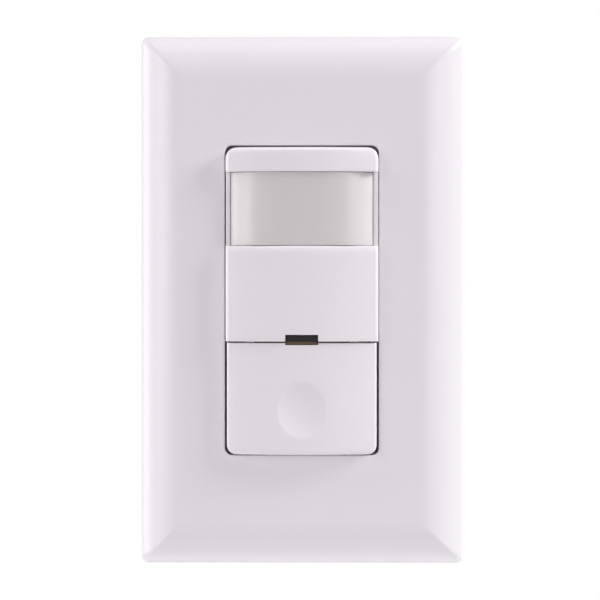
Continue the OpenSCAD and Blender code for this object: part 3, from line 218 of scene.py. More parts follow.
# Rear housing: a deep box moulded in dark flame-resistant plastic, with pockets at the sides for the wires.
# Four long screws run through its corner pillars into the front housing.
# Its outside is finely spark-eroded, so it is matt.
REAR_EDGE = 0.25 * MM
rear_plastic = grained("rear_plastic", (0.028, 0.029, 0.031), (0.036, 0.037, 0.04), (0.5, 0.6),
                       2600, 80, 0.03 * MM)
dress("rear_housing", rear_plastic, REAR_EDGE)

# Housing screws: zinc-plated steel, pan heads sunk in the back of the rear housing.
# They cut their own thread in the bosses of the front housing.
HOUSING_SCREW_EDGE = 0.12 * MM
zinc = grained("zinc", (0.62, 0.63, 0.64), (0.72, 0.72, 0.7), (0.28, 0.42), 2000, 260, 0.006 * MM, 1.0)
dress("housing_screws", zinc, HOUSING_SCREW_EDGE)

# Terminals: brass plates with tails on the power board, zinc clamps and their screws.
# Brass screws mark the line and load wires, a silver one the neutral, a green one the ground.
TERMINAL_PLATE_EDGE = 0.08 * MM
CLAMP_EDGE = 0.1 * MM
TERMINAL_SCREW_EDGE = 0.15 * MM
brass = grained("brass", (0.72, 0.5, 0.2), (0.6, 0.4, 0.15), (0.26, 0.4), 1600, 240, 0.006 * MM, 1.0)
screw_green = grained("screw_green", (0.03, 0.3, 0.1), (0.05, 0.38, 0.14), (0.26, 0.36),
                      1600, 240, 0.006 * MM, 0.75)
dress("terminal_plates", brass, TERMINAL_PLATE_EDGE)
dress("wire_clamps", zinc, CLAMP_EDGE)
dress("hot_terminal_screws", brass, TERMINAL_SCREW_EDGE)
dress("neutral_terminal_screw", zinc, TERMINAL_SCREW_EDGE)
dress("ground_screw", screw_green, TERMINAL_SCREW_EDGE)

# Mounting strap: stamped from rolled steel and zinc-plated, with slotted ears and a bent tab for the ground.
# It is clamped between the rear and the front housing; the rolling marks run along its length.
STRAP_EDGE = 0.12 * MM
strap_zinc = grained("strap_zinc", (0.6, 0.61, 0.63), (0.72, 0.72, 0.71), (0.26, 0.44),
                     (3000, 3000, 120), (300, 300, 40), 0.01 * MM, 1.0)
dress("mounting_strap", strap_zinc, STRAP_EDGE)

# Front housing: one white moulding with the top band, the thin rails beside the lens and the middle panel.
# Band and panel are crowned across the width and have soft front edges; the wall is hollow behind.
# A flange sits on the strap; bosses take the screws, and cheeks behind the panel carry the button's pivots.
NEAR = 0.01  # how close counts as touching, and how far joined solids run into each other
MERGE = 0.0005  # points closer than this are one
SEAT = 1.2  # out of the wall, in millimetres, as in every new piece
FACE = 10.8
FACE_EDGE = 1.0
FACE_WALL = 1.2
CROWN = 78.0
CROWN_IN = 14.5  # the crown is split evenly as far as this
COLUMN_GAP = 0.05
FRONT_HALF = 16.47
FRONT_SHIFT = 0.05  # both sides sit a hair to the right in the opening
FRONT_TOP = 32.97
WINDOW_TOP = 27.7
WINDOW_BOTTOM = 11.8
BAND_EDGE = 0.3
BAND_CORNER = 2.4
PANEL_BOTTOM = -8.8
PANEL_EDGE = 1.6
PANEL_EDGE_DROP = 0.7
PANEL_LOW_EDGE = ((0.0, 0.12), (0.06, 0.03), (0.16, 0.0))  # height above the edge, drop
NOTCH_HALF = 3.55
NOTCH_TOP = -7.35
RAIL_FRONT = 6.8
RAIL_IN = 15.4
RAIL_EDGE = 0.3
LEDGE_IN = 14.95
LEDGE_TOP = 4.05
LEDGE_LAP = 0.2
BOARD_POST_R = 1.2
BOARD_POST_X = 13.3
BOARD_POST_Y = 3.0
BOARD_POST_BACK = -4.5
BOARD_POST_FRONT = 8.75
PIVOT_Y = -6.2
PIVOT_Z = 7.2
CHEEK_IN = 12.6
CHEEK_OUT = 15.1
CHEEK_W = 3.8
CHEEK_H = 4.0
CHEEK_CORNER = 0.3
CHEEK_SET_BACK = 0.3
CHEEK_BORE_R = 0.95
CHEEK_BORE_END = 14.3
BOSS_X = 12.15
BOSS_TOP_Y = 30.95
BOSS_LOW_Y = -27.6
BOSS_R = 2.2
BOSS_BORE_R = 1.36
BOSS_FRONT = 5.4
BOSS_ROOF = 0.4
FLANGE_W = 35.3
FLANGE_H = 68.6
FLANGE_CORNER = 3.4
FLANGE_EDGE = 0.2
FLANGE_FRONT = 2.6
FLANGE_HOLE_W = 29.9
FLANGE_HOLE_H = 63.2
FLANGE_HOLE_CORNER = 1.0
TUB_HALF = 14.15
TUB_TOP = -10.9
TUB_BOTTOM = -31.3
TUB_WALL = 1.3
TUB_FRONT = 6.1
LENS_TOP = 10.25
LENS_RISE = 1.0  # how far the lens stands in front of its flanges
LENS_CROWN = 120.0
LENS_EDGE = 9.0
LENS_SPRING = 17.4  # half width at which its sides would stand upright
LENS_GAP = 0.1


def even(low, high, count):
    return [low + (high - low) * k / count for k in range(count + 1)]


# Place and drop of each column across a crowned face with rounded sides
def crown_columns(half, crown, edge, inner, turns=8):
    centre = half - edge
    tilt = math.asin(centre / (crown - edge))
    sunk = crown - math.sqrt((crown - edge) ** 2 - centre ** 2)
    side = [(centre + edge * math.sin(a), sunk - edge * math.cos(a)) for a in even(tilt, math.pi / 2, turns)]
    middle = [(x, crown - math.sqrt(crown ** 2 - x ** 2)) for x in inner if abs(x) < side[0][0] - COLUMN_GAP]
    return [(-x, drop) for x, drop in reversed(side)] + middle + side


# Place and drop of each row along a face with rounded ends
def soft_rows(low, high, count, edge_low, edge_high, turns=6):
    rows = [(low + edge_low * (1 - math.sin(a)), edge_low * (1 - math.cos(a)))
            for a in even(math.pi / 2, 0, turns)] if edge_low else [(low, 0.0)]
    rows += [(y, 0.0) for y in even(low + edge_low, high - edge_high, count)[1:-1]]
    rows += [(high - edge_high * (1 - math.sin(a)), edge_high * (1 - math.cos(a)))
             for a in even(0, math.pi / 2, turns)] if edge_high else [(high, 0.0)]
    return rows


# Share of the half width that a round corner leaves
def narrowing(past, corner, half):
    sag = corner - math.sqrt(max(corner ** 2 - max(past, 0.0) ** 2, 0))
    return 1 - sag / half


# Face drawn as a grid of such columns and rows
def sheet(bm, columns, rows, put):
    across, along = len(columns) - 1, len(rows) - 1
    made = bmesh.ops.create_grid(bm, x_segments=across, y_segments=along, size=1)
    for v in made["verts"]:
        v.co = put(columns[round((v.co.x + 1) / 2 * across)], rows[round((v.co.y + 1) / 2 * along)])
    return made["verts"]


def cut_out(bm, verts, wanted):
    faces = {f for v in verts for f in v.link_faces}
    gone = [f for f in bm.faces if f in faces and wanted(f.calc_center_median())]
    bmesh.ops.delete(bm, geom=gone, context="FACES")
    return [v for v in verts if v.is_valid]


def edges_of(bm, verts):
    own = set(verts)
    return [e for e in bm.edges if e.verts[0] in own]


def rim(bm, verts):
    return [e for e in edges_of(bm, verts) if e.is_boundary]


def points_in(geom):
    return [v for v in geom if isinstance(v, bmesh.types.BMVert)]


# Side walls, drawn back from the edges of a face
def skirt(bm, edges, floor):
    for v in points_in(bmesh.ops.extrude_edge_only(bm, edges=edges)["geom"]):
        v.co.z = floor(v.co)


# A face and its side walls, thickened inwards
def shell(bm, verts, wall):
    seen = {f for v in verts for f in v.link_faces}
    more = list(seen)
    while more:
        for e in more.pop().edges:
            for f in e.link_faces:
                if f not in seen:
                    seen.add(f)
                    more.append(f)
    faces = [f for f in bm.faces if f in seen]
    bmesh.ops.recalc_face_normals(bm, faces=faces)
    front = max(faces, key=lambda f: f.calc_center_median().z)
    if front.normal.z < 0:
        bmesh.ops.reverse_faces(bm, faces=faces)
    bmesh.ops.solidify(bm, geom=faces, thickness=wall)


def outline(width, height, corner, z, middle=(0.0, 0.0), steps=6):
    points = []
    for right, up, start in ((1, 1, 0), (-1, 1, 1), (-1, -1, 2), (1, -1, 3)):
        for turn in even(start * math.pi / 2, (start + 1) * math.pi / 2, steps):
            points.append((middle[0] + right * (width / 2 - corner) + corner * math.cos(turn),
                           middle[1] + up * (height / 2 - corner) + corner * math.sin(turn), z))
    return points


def ring_of(radius, z, middle=(0.0, 0.0), steps=6):
    return outline(2 * radius, 2 * radius, radius, z, middle, steps)


# Rings of points joined in order; open ends are capped, closed ones run round to the first ring
def loft(bm, rings, closed=False):
    made = bmesh.ops.create_circle(bm, segments=len(rings[0]), radius=1.0)
    verts = sorted(made["verts"], key=lambda v: math.atan2(v.co.y, v.co.x) % (2 * math.pi))
    first = loop = edges_of(bm, verts)
    everything = list(verts)
    for v, point in zip(verts, rings[0]):
        v.co = point
    for ring in rings[1:] + ([rings[0]] if closed else []):
        place_of = {v: k for k, v in enumerate(verts)}
        geom = bmesh.ops.extrude_edge_only(bm, edges=loop)["geom"]
        fresh = points_in(geom)
        verts = [None] * len(ring)
        for v in fresh:
            old = next(e.other_vert(v) for e in v.link_edges if e.other_vert(v) in place_of)
            verts[place_of[old]] = v
        for v, point in zip(verts, ring):
            v.co = point
        everything += fresh
        loop = [e for e in geom if isinstance(e, bmesh.types.BMEdge) and all(v in fresh for v in e.verts)]
    if not closed:
        for edges in (first, loop):
            bmesh.ops.contextual_create(bm, geom=edges)
    return everything


def prism(bm, points, shift):
    face = bm.faces.new([bm.verts.new(p) for p in points])
    made = bmesh.ops.extrude_face_region(bm, geom=[face], use_keep_orig=True)
    bmesh.ops.translate(bm, verts=points_in(made["geom"]), vec=shift)


def block(bm, corner, opposite):
    verts = bmesh.ops.create_cube(bm, size=1)["verts"]
    corner, opposite = Vector(corner), Vector(opposite)
    bmesh.ops.scale(bm, verts=verts, vec=[abs(side) for side in opposite - corner])
    bmesh.ops.translate(bm, verts=verts, vec=(corner + opposite) / 2)
    return verts


def round_edges(bm, verts, radius, wanted):
    edges = [e for e in edges_of(bm, verts) if wanted(*(v.co for v in e.verts))]
    bmesh.ops.bevel(bm, geom=edges, offset=radius, offset_type="OFFSET", segments=4, profile=0.5,
                    affect="EDGES", material=-1)


def onto_pivot(bm, verts, side):
    bmesh.ops.rotate(bm, verts=verts, cent=(0, 0, 0), matrix=Matrix.Rotation(side * math.pi / 2, 3, "Y"))
    bmesh.ops.translate(bm, verts=verts, vec=(0, PIVOT_Y, PIVOT_Z))


# A piece drawn with x to the right, y up and z out of the wall, scaled to metres and turned into the frame
def piece(name, bm, finish, body, slot, *replaced, sharp=40):
    bmesh.ops.remove_doubles(bm, verts=bm.verts, dist=MERGE)
    bmesh.ops.recalc_face_normals(bm, faces=bm.faces)
    bmesh.ops.scale(bm, verts=bm.verts, vec=(MM, MM, MM))
    bmesh.ops.rotate(bm, verts=bm.verts, cent=(0, 0, 0), matrix=Matrix.Rotation(math.pi / 2, 3, "X"))
    mesh = bpy.data.meshes.new(name)
    bm.to_mesh(mesh)
    bm.free()
    mesh.shade_smooth()
    mesh.set_sharp_from_angle(angle=math.radians(sharp))
    mesh.materials.append(finish)
    made = bpy.data.objects.new(name, mesh)
    bpy.context.scene.collection.objects.link(made)
    made.modifiers.new("normals", "WEIGHTED_NORMAL").keep_sharp = True
    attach(made, body)
    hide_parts(*replaced)


# Front of the lens at x, or the surface that lies one wall inside it
def lens_curve(x, top, wall=0.0):
    centre = LENS_SPRING - LENS_EDGE
    if abs(x) <= centre * (LENS_CROWN - wall) / (LENS_CROWN - LENS_EDGE):
        return top - LENS_CROWN + math.sqrt((LENS_CROWN - wall) ** 2 - x ** 2)
    sunk = LENS_CROWN - math.sqrt((LENS_CROWN - LENS_EDGE) ** 2 - centre ** 2)
    return top - sunk + math.sqrt((LENS_EDGE - wall) ** 2 - (abs(x) - centre) ** 2)


def over_flange(x):
    return lens_curve(x, LENS_TOP - LENS_RISE) + LENS_GAP


def placed(x):
    return x + FRONT_SHIFT * abs(x) / FRONT_HALF


def band_half_share(y):
    return narrowing(y - (FRONT_TOP - BAND_CORNER), BAND_CORNER, FRONT_HALF)


white_front = grained("white_front", (0.83, 0.785, 0.837), (0.82, 0.775, 0.827), (0.34, 0.38),
                      1400, 40, 0.004 * MM)
bm = bmesh.new()
columns = crown_columns(FRONT_HALF, CROWN, FACE_EDGE, even(-CROWN_IN, CROWN_IN, 24))
band = sheet(bm, columns, soft_rows(WINDOW_TOP, FRONT_TOP, 5, BAND_EDGE, FACE_EDGE),
             lambda c, r: (placed(c[0] * band_half_share(r[0])), r[0], FACE - c[1] - r[1]))
skirt(bm, rim(bm, band),
      lambda p: over_flange(p.x) if p.y < WINDOW_TOP + NEAR and abs(p.x) < LEDGE_IN else SEAT)
shell(bm, band, FACE_WALL)

columns = crown_columns(FRONT_HALF, CROWN, FACE_EDGE,
                        even(-CROWN_IN, -NOTCH_HALF, 9) + even(-NOTCH_HALF, NOTCH_HALF, 6)[1:-1]
                        + even(NOTCH_HALF, CROWN_IN, 9))
rows = [(PANEL_BOTTOM + rise, drop) for rise, drop in PANEL_LOW_EDGE] + \
    [(y, 0.0) for y in even(NOTCH_TOP, WINDOW_BOTTOM - PANEL_EDGE, 14)[:-1]] + \
    [(WINDOW_BOTTOM - PANEL_EDGE * (1 - math.sin(a)), PANEL_EDGE_DROP * (1 - math.cos(a)))
     for a in even(0, math.pi / 2, 10)]
panel = sheet(bm, columns, rows, lambda c, r: (placed(c[0]), r[0], FACE - c[1] - r[1]))
panel = cut_out(bm, panel, lambda p: p.y < NOTCH_TOP and abs(p.x) < NOTCH_HALF)
top_and_sides = [e for e in rim(bm, panel)
                 if all(v.co.y > WINDOW_BOTTOM - NEAR or abs(v.co.x - FRONT_SHIFT) > FRONT_HALF - NEAR
                        for v in e.verts)]
skirt(bm, top_and_sides,
      lambda p: over_flange(p.x) if p.y > WINDOW_BOTTOM - NEAR and abs(p.x) < LEDGE_IN else SEAT)
shell(bm, panel, FACE_WALL)

for side in (-1, 1):
    rail = block(bm, (side * RAIL_IN, WINDOW_BOTTOM, SEAT),
                 (placed(side * FRONT_HALF), WINDOW_TOP, RAIL_FRONT))
    round_edges(bm, rail, RAIL_EDGE,
                lambda a, b: min(a.z, b.z) > RAIL_FRONT - NEAR and abs(a.x - b.x) < NEAR)
    block(bm, (side * LEDGE_IN, WINDOW_BOTTOM, SEAT), (side * (RAIL_IN + LEDGE_LAP), WINDOW_TOP, LEDGE_TOP))
    post_place = (side * BOARD_POST_X, BOARD_POST_Y)
    loft(bm, [ring_of(BOARD_POST_R, z, post_place) for z in (BOARD_POST_BACK, BOARD_POST_FRONT)])
    cheek_place = (side * CHEEK_SET_BACK, 0.0)
    cheek = loft(bm, [ring_of(CHEEK_BORE_R, CHEEK_BORE_END), ring_of(CHEEK_BORE_R, CHEEK_IN)]
                 + [outline(CHEEK_W, CHEEK_H, CHEEK_CORNER, z, cheek_place) for z in (CHEEK_IN, CHEEK_OUT)])
    onto_pivot(bm, cheek, side)
boss = ((BOSS_BORE_R, BOSS_FRONT - BOSS_ROOF), (BOSS_BORE_R, SEAT), (BOSS_R, SEAT), (BOSS_R, BOSS_FRONT))
for boss_y in (BOSS_TOP_Y, BOSS_LOW_Y):
    for boss_x in (BOSS_X, -BOSS_X):
        loft(bm, [ring_of(radius, z, (boss_x, boss_y)) for radius, z in boss])
loft(bm, [outline(FLANGE_W, FLANGE_H, FLANGE_CORNER, SEAT),
          outline(FLANGE_W, FLANGE_H, FLANGE_CORNER, FLANGE_FRONT - FLANGE_EDGE),
          outline(FLANGE_W - 2 * FLANGE_EDGE, FLANGE_H - 2 * FLANGE_EDGE, FLANGE_CORNER - FLANGE_EDGE,
                  FLANGE_FRONT),
          outline(FLANGE_HOLE_W, FLANGE_HOLE_H, FLANGE_HOLE_CORNER, FLANGE_FRONT),
          outline(FLANGE_HOLE_W, FLANGE_HOLE_H, FLANGE_HOLE_CORNER, SEAT)], closed=True)
tub_in, tub_floor = TUB_HALF - TUB_WALL, TUB_BOTTOM + TUB_WALL
prism(bm, [(x, y, SEAT) for x, y in (
    (-TUB_HALF, TUB_TOP), (-TUB_HALF, TUB_BOTTOM), (TUB_HALF, TUB_BOTTOM), (TUB_HALF, TUB_TOP),
    (tub_in, TUB_TOP), (tub_in, tub_floor), (-tub_in, tub_floor), (-tub_in, TUB_TOP))],
    (0, 0, TUB_FRONT - SEAT))
piece("front_housing_moulding", bm, white_front, "base", "housing_plastic", "front_housing")

# Sensor lens: a thin milky polyethylene shell, gently crowned and steep at its sides, with grooves inside.
# A flange at each end is tucked under the band and the panel; body heat passes through to the sensor.
# It looks grey in front of the dark inside, and its sides are painted paler than its middle: painted light
# for the side lamps that catch its steep sides.
LENS_HALF = 15.3
LENS_END = 0.1
LENS_WALL = 0.9
LENS_TUCK = 0.9
FLANGE_HALF = 14.85
WEB_DROP = 0.4
GROOVE_HALF = 0.2
GROOVE_DEPTH = 0.3
GROOVE_PITCH = 2.55
GROOVES_A_SIDE = 4
LENS_GREY = (0.66, 0.623, 0.635)
LENS_PATCH = (0.645, 0.608, 0.62)
# Painted highlight: the paler colour painted on the lens sides, standing in for the light they catch
LENS_PAINTED_LIGHT = (0.715, 0.675, 0.688)
PAINTED_LIGHT_FROM = 4.0
PAINTED_LIGHT_AT = 12.5


# Blends a finish into a second colour with the distance from the middle, along one axis
def fade_to(finish, colour, axis, start, end):
    tree = finish.node_tree
    base = tree.nodes["Principled BSDF"].inputs["Base Color"]
    place = add(tree, "ShaderNodeSeparateXYZ")
    tree.links.new(add(tree, "ShaderNodeTexCoord").outputs["Object"], place.inputs[0])
    away = add(tree, "ShaderNodeMath", operation="ABSOLUTE")
    tree.links.new(place.outputs[axis], away.inputs[0])
    share = add(tree, "ShaderNodeMapRange", interpolation_type="SMOOTHSTEP")
    share.inputs["From Min"].default_value = start * MM
    share.inputs["From Max"].default_value = end * MM
    tree.links.new(away.outputs[0], share.inputs["Value"])
    mix = add(tree, "ShaderNodeMix", data_type="RGBA")
    mix.inputs[MIX_HIGH].default_value = (*colour, 1)
    tree.links.new(share.outputs["Result"], mix.inputs[MIX_SHARE])
    tree.links.new(base.links[0].from_socket, mix.inputs[MIX_LOW])
    tree.links.new(mix.outputs[MIX_COLOUR], base)


milky = grained("milky_lens", LENS_GREY, LENS_PATCH, (0.3, 0.36), 1400, 60, 0.004 * MM)
# Painted highlight: the lens colour turns paler towards its sides, where the side lamps light them
fade_to(milky, LENS_PAINTED_LIGHT, "X", PAINTED_LIGHT_FROM, PAINTED_LIGHT_AT)
shader = milky.node_tree.nodes["Principled BSDF"]
shader.inputs["Subsurface Weight"].default_value = 0.3
shader.inputs["Subsurface Radius"].default_value = (1.0, 1.0, 1.0)
shader.inputs["Subsurface Scale"].default_value = 1.5 * MM
bm = bmesh.new()
low, high = WINDOW_BOTTOM + LENS_GAP, WINDOW_TOP - LENS_GAP
steps = [(-LENS_HALF, 0.0)]
for k in range(-GROOVES_A_SIDE - 2, GROOVES_A_SIDE + 3):
    middle = k * GROOVE_PITCH
    left, right = middle - GROOVE_HALF, middle + GROOVE_HALF
    points = [(middle + GROOVE_PITCH / 3, 0.0), (middle + GROOVE_PITCH * 2 / 3, 0.0)]
    if abs(k) <= GROOVES_A_SIDE:
        points = [(left, 0.0), (left, GROOVE_DEPTH), (right, GROOVE_DEPTH), (right, 0.0)] + points
    steps += [(x, lift) for x, lift in points if abs(x) < LENS_HALF - LENS_END]
steps.append((LENS_HALF, 0.0))
inner = [(x, lens_curve(x, LENS_TOP, LENS_WALL) + lift) for x, lift in steps]
outer = [(x, lens_curve(x, LENS_TOP)) for x in even(-LENS_HALF, LENS_HALF, 96)]
prism(bm, [(x, low, z) for x, z in outer + inner[::-1]], (0, high - low, 0))
flange_top = LENS_TOP - LENS_RISE
across = even(-FLANGE_HALF, FLANGE_HALF, 48)
flange_back = [(x, lens_curve(x, flange_top, LENS_WALL)) for x in across]
flange_front = [(x, lens_curve(x, flange_top)) for x in across[::-1]]
web_front = [(x, lens_curve(x, LENS_TOP - WEB_DROP)) for x in across[::-1]]
for edge, outward in ((low, -1), (high, 1)):
    start = edge + outward * (LENS_GAP + LENS_TUCK)
    end = edge - outward * (LENS_WALL - NEAR)
    web_start = edge - outward * NEAR
    prism(bm, [(x, start, z) for x, z in flange_back + flange_front], (0, end - start, 0))
    prism(bm, [(x, web_start, z + NEAR) for x, z in flange_back + web_front], (0, end - web_start, 0))
piece("sensor_lens_shell", bm, milky, "base", "lens_plastic", "sensor_lens")

# Indicator window: a smoked acrylic light pipe across the line between panel and button.
# Its polished front lies a little behind the panel, and a stem leads back to the lamp on the board.
# Towards its lower edge the pipe is coloured amber.
PIPE_HALF = 3.35
PIPE_TOP = -7.5
PIPE_LOW = -9.47
PIPE_FRONT = 10.1
PIPE_EDGE = 0.12
STEM_H = 1.2
STEM_INSET = 0.02
STEM_BACK = -3.1
STEM_LAP = 0.1
STEM_EDGE = 0.08
SHOULDER_FRONT = 9.35
SHOULDER_T = 0.9
SHOULDER_OUT = 1.0
SHOULDER_EDGE = 0.15
AMBER = (0.12, 0.075, 0.04)
AMBER_FROM = 8.7
AMBER_AT = 9.1
smoked = grained("smoked_acrylic", (0.014, 0.01, 0.012), (0.018, 0.013, 0.016), (0.08, 0.14),
                 1400, 200, 0.002 * MM)
fade_to(smoked, AMBER, "Z", AMBER_FROM, AMBER_AT)
smoked.node_tree.nodes["Principled BSDF"].inputs["Specular IOR Level"].default_value = 0.25
bm = bmesh.new()
window = block(bm, (-PIPE_HALF, PIPE_LOW, SHOULDER_FRONT), (PIPE_HALF, PIPE_TOP, PIPE_FRONT))
round_edges(bm, window, PIPE_EDGE, lambda a, b: min(a.z, b.z) > PIPE_FRONT - NEAR)
stem_half, stem_top = PIPE_HALF - STEM_INSET, PIPE_TOP - STEM_INSET
stem = block(bm, (-stem_half, PIPE_TOP - STEM_H, STEM_BACK), (stem_half, stem_top, SHOULDER_FRONT + STEM_LAP))
round_edges(bm, stem, STEM_EDGE, lambda a, b: abs(a.z - b.z) > 1)
shoulder_half = PIPE_HALF + SHOULDER_OUT
shoulder = block(bm, (-shoulder_half, PIPE_TOP - STEM_H + STEM_INSET, SHOULDER_FRONT - SHOULDER_T),
                 (shoulder_half, PIPE_TOP + SHOULDER_OUT, SHOULDER_FRONT))
round_edges(bm, shoulder, SHOULDER_EDGE, lambda a, b: abs(a.z - b.z) > SHOULDER_T / 2)
piece("indicator_window", bm, smoked, "base", "smoked_plastic", "indicator_light_pipe", sharp=30)

# Push button: a white moulded key, crowned like the panel, with a shallow round dimple for the finger.
# It hangs on two pivots behind the panel, and a ribbed post behind the dimple meets the tactile switch.
BUTTON_HALF = 16.12
BUTTON_TOP = -9.1
BUTTON_BOTTOM = -33.2
BUTTON_FRONT = 10.3
BUTTON_EDGE = 0.7
BUTTON_CORNER = 2.0
BUTTON_TOP_EDGE = ((0.2, 0.0), (0.1, 0.02), (0.03, 0.07), (0.0, 0.2))  # depth below the edge, drop
BUTTON_IN = 14.6
BUTTON_WALL = 1.1
BUTTON_BEHIND = 9.1
BUTTON_NOTCH = -9.57
NOTCH_BACK = 8.1
SKIRT_BACK = 4.7
DIMPLE_Y = -23.5
DIMPLE_R = 6.1
DIMPLE_DEPTH = 0.7
DIMPLE_SOFT = 0.06
DIMPLE_ZONE_HALF = 7.0  # the face is split finely round the dimple
DIMPLE_ZONE_TOP = -16.5
EAR_IN = 10.3
EAR_OUT = 12.3
EAR_LOW = -9.65
EAR_LAP = 0.1
EAR_BACK = 6.2
EAR_FRONT = 7.4
HUB_R = 1.05
PIN_R = 0.9
PIN_END = 14.0
PIN_EDGE = 0.1
RIB_IN = 1.0
RIB_OUT = 2.0
RIB_BACK = 6.7
POST_Y = -21.0
POST_R = 1.5
POST_BALL_Z = 3.03
POST_TIP_TURN = 0.1


# Depth of the finger dimple, a part of a ball with a softened rim
def dimple(x, y, sunk):
    ball = (DIMPLE_R ** 2 + DIMPLE_DEPTH ** 2) / (2 * DIMPLE_DEPTH)
    away = math.hypot(x, y - DIMPLE_Y)
    depth = DIMPLE_DEPTH - ball + math.sqrt(ball ** 2 - min(away, 2 * DIMPLE_R) ** 2) - sunk
    if depth <= -DIMPLE_SOFT:
        return 0.0
    return depth if depth >= DIMPLE_SOFT else (depth + DIMPLE_SOFT) ** 2 / (4 * DIMPLE_SOFT)


def on_button(c, r):
    share = narrowing(BUTTON_BOTTOM + BUTTON_CORNER - r[0], BUTTON_CORNER, BUTTON_HALF)
    return c[0] * share, r[0], BUTTON_FRONT - c[1] - r[1] - dimple(c[0], r[0], c[1])


white_button = grained("white_button", (0.83, 0.785, 0.84), (0.82, 0.775, 0.83), (0.34, 0.38),
                       1400, 40, 0.004 * MM)
bm = bmesh.new()
columns = crown_columns(BUTTON_HALF, CROWN, BUTTON_EDGE,
                        even(-BUTTON_IN, -DIMPLE_ZONE_HALF, 8)[:-1]
                        + even(-DIMPLE_ZONE_HALF, -NOTCH_HALF, 12)
                        + even(-NOTCH_HALF, NOTCH_HALF, 24)[1:-1]
                        + even(NOTCH_HALF, DIMPLE_ZONE_HALF, 12)
                        + even(DIMPLE_ZONE_HALF, BUTTON_IN, 8)[1:])
rows = soft_rows(BUTTON_BOTTOM, DIMPLE_ZONE_TOP, 54, BUTTON_EDGE, 0)[:-1] + \
    [(y, 0.0) for y in even(DIMPLE_ZONE_TOP, BUTTON_NOTCH, 6)] + \
    [(BUTTON_TOP - below, drop) for below, drop in BUTTON_TOP_EDGE]
key = sheet(bm, columns, rows, on_button)
key = cut_out(bm, key, lambda p: p.y > BUTTON_NOTCH and abs(p.x) < NOTCH_HALF)
skirt(bm, rim(bm, key),
      lambda p: NOTCH_BACK if abs(p.x) < NOTCH_HALF + NEAR and p.y > BUTTON_NOTCH - NEAR else SKIRT_BACK)
shell(bm, key, BUTTON_WALL)
for side in (-1, 1):
    block(bm, (side * EAR_IN, EAR_LOW, EAR_BACK), (side * EAR_OUT, PIVOT_Y - EAR_LAP, EAR_FRONT))
    pin = loft(bm, [ring_of(HUB_R, EAR_IN), ring_of(HUB_R, EAR_OUT), ring_of(PIN_R, EAR_OUT),
                    ring_of(PIN_R, PIN_END - PIN_EDGE), ring_of(PIN_R - PIN_EDGE, PIN_END)])
    onto_pivot(bm, pin, side)
    block(bm, (side * RIB_IN, POST_Y, RIB_BACK), (side * RIB_OUT, EAR_LOW, BUTTON_BEHIND))
ball = [ring_of(POST_R * math.sin(a), POST_BALL_Z - POST_R * math.cos(a), (0, POST_Y))
        for a in even(POST_TIP_TURN, math.pi / 2, 8)]
loft(bm, ball + [ring_of(POST_R, BUTTON_BEHIND, (0, POST_Y))])
piece("push_button_key", bm, white_button, "button", "button_plastic", "push_button")

# Box screws and sub-plate screws: zinc-plated machine screws with cross recesses and rolled threads.
# The box screws hold the strap to the wall box, the shorter flat-headed ones hold the sub-plate to the strap.
SCREW_R = 1.75
THREAD_PITCH = 0.794
THREAD_STEPS = 24
THREAD_DEPTH = 0.55 * THREAD_PITCH
THREAD_CREST = (0.42, 0.58)  # shares of the pitch
CROSS_DEPTH = 1.0
CROSS_TIP_HALF = 0.34
CROSS_HALF = 0.45
BOX_SCREW_Y = 41.67
BOX_SCREW_BACK = -24.0
PAN_R = 3.2
PAN_TOP = 3.1
PAN_SIDE_TOP = 2.1
PAN_EDGE = 0.15
PAN_CROWN_RINGS = (2.2, 2.6, 2.95, 3.1)
PAN_CROSS_ARMS = (1.5, 1.92)
PAN_CROSS_SUNK = 0.25
NECK_R = 1.5
NECK_BACK = -0.3
SUB_SCREW_Y = 48.42
SUB_SCREW_BACK = -4.0
SUB_THREAD_FRONT = 2.5
FLAT_R = 2.7
FLAT_TOP = 3.4
FLAT_EDGE = 0.06
FLAT_IN_R = 2.2
FLAT_DEPTH = 1.0
FLAT_CROSS_ARMS = (1.25, 1.62)
FLAT_NECK_IN = 0.5


# Rolled thread, spun as a helix and cut off square at both ends
def thread(bm, low, high):
    core = SCREW_R - THREAD_DEPTH
    turns = math.ceil((high - low) / THREAD_PITCH) + 2
    form = [(core, 0.0), (SCREW_R, THREAD_CREST[0]), (SCREW_R, THREAD_CREST[1]), (core, 1.0)]
    line = [bm.verts.new((r, 0, low + (share - 1) * THREAD_PITCH)) for r, share in form]
    edges = [bm.edges.new(pair) for pair in zip(line, line[1:])]
    bmesh.ops.spin(bm, geom=line + edges, cent=(0, 0, 0), axis=(0, 0, 1),
                   dvec=(0, 0, THREAD_PITCH / THREAD_STEPS), angle=2 * math.pi * turns,
                   steps=THREAD_STEPS * turns, use_merge=False)
    bmesh.ops.remove_doubles(bm, verts=bm.verts, dist=2 * MERGE)
    for height, facing in ((low, -1), (high, 1)):
        bmesh.ops.bisect_plane(bm, geom=list(bm.verts) + list(bm.edges) + list(bm.faces),
                               plane_co=(0, 0, height), plane_no=(0, 0, facing), clear_outer=True)
        cut = [e for e in bm.edges if e.is_boundary
               and all(abs(v.co.z - height) < 2 * MERGE for v in e.verts)]
        bmesh.ops.holes_fill(bm, edges=cut, sides=0)


def cross(arm, half, z):
    quarter = [(arm, 0), (arm, half / 2), (arm, half), ((arm + half) / 2, half), (half, half),
               (half, (arm + half) / 2), (half, arm), (half / 2, arm), (0, arm)]
    points = list(quarter)
    for _ in range(3):
        quarter = [(-y, x) for x, y in quarter]
        points += quarter
    return [(x, y, z) for x, y in points]


def head_rings(sizes):
    return [ring_of(radius, z, steps=8) for radius, z in sizes]


def screw_pair(name, bm, up, node):
    whole = list(bm.verts) + list(bm.edges) + list(bm.faces)
    twin = bmesh.ops.duplicate(bm, geom=whole)["geom"]
    bmesh.ops.translate(bm, verts=points_in(whole), vec=(0, up, 0))
    bmesh.ops.translate(bm, verts=points_in(twin), vec=(0, -up, 0))
    piece(name, bm, zinc, "base", "screw_zinc", node, sharp=35)


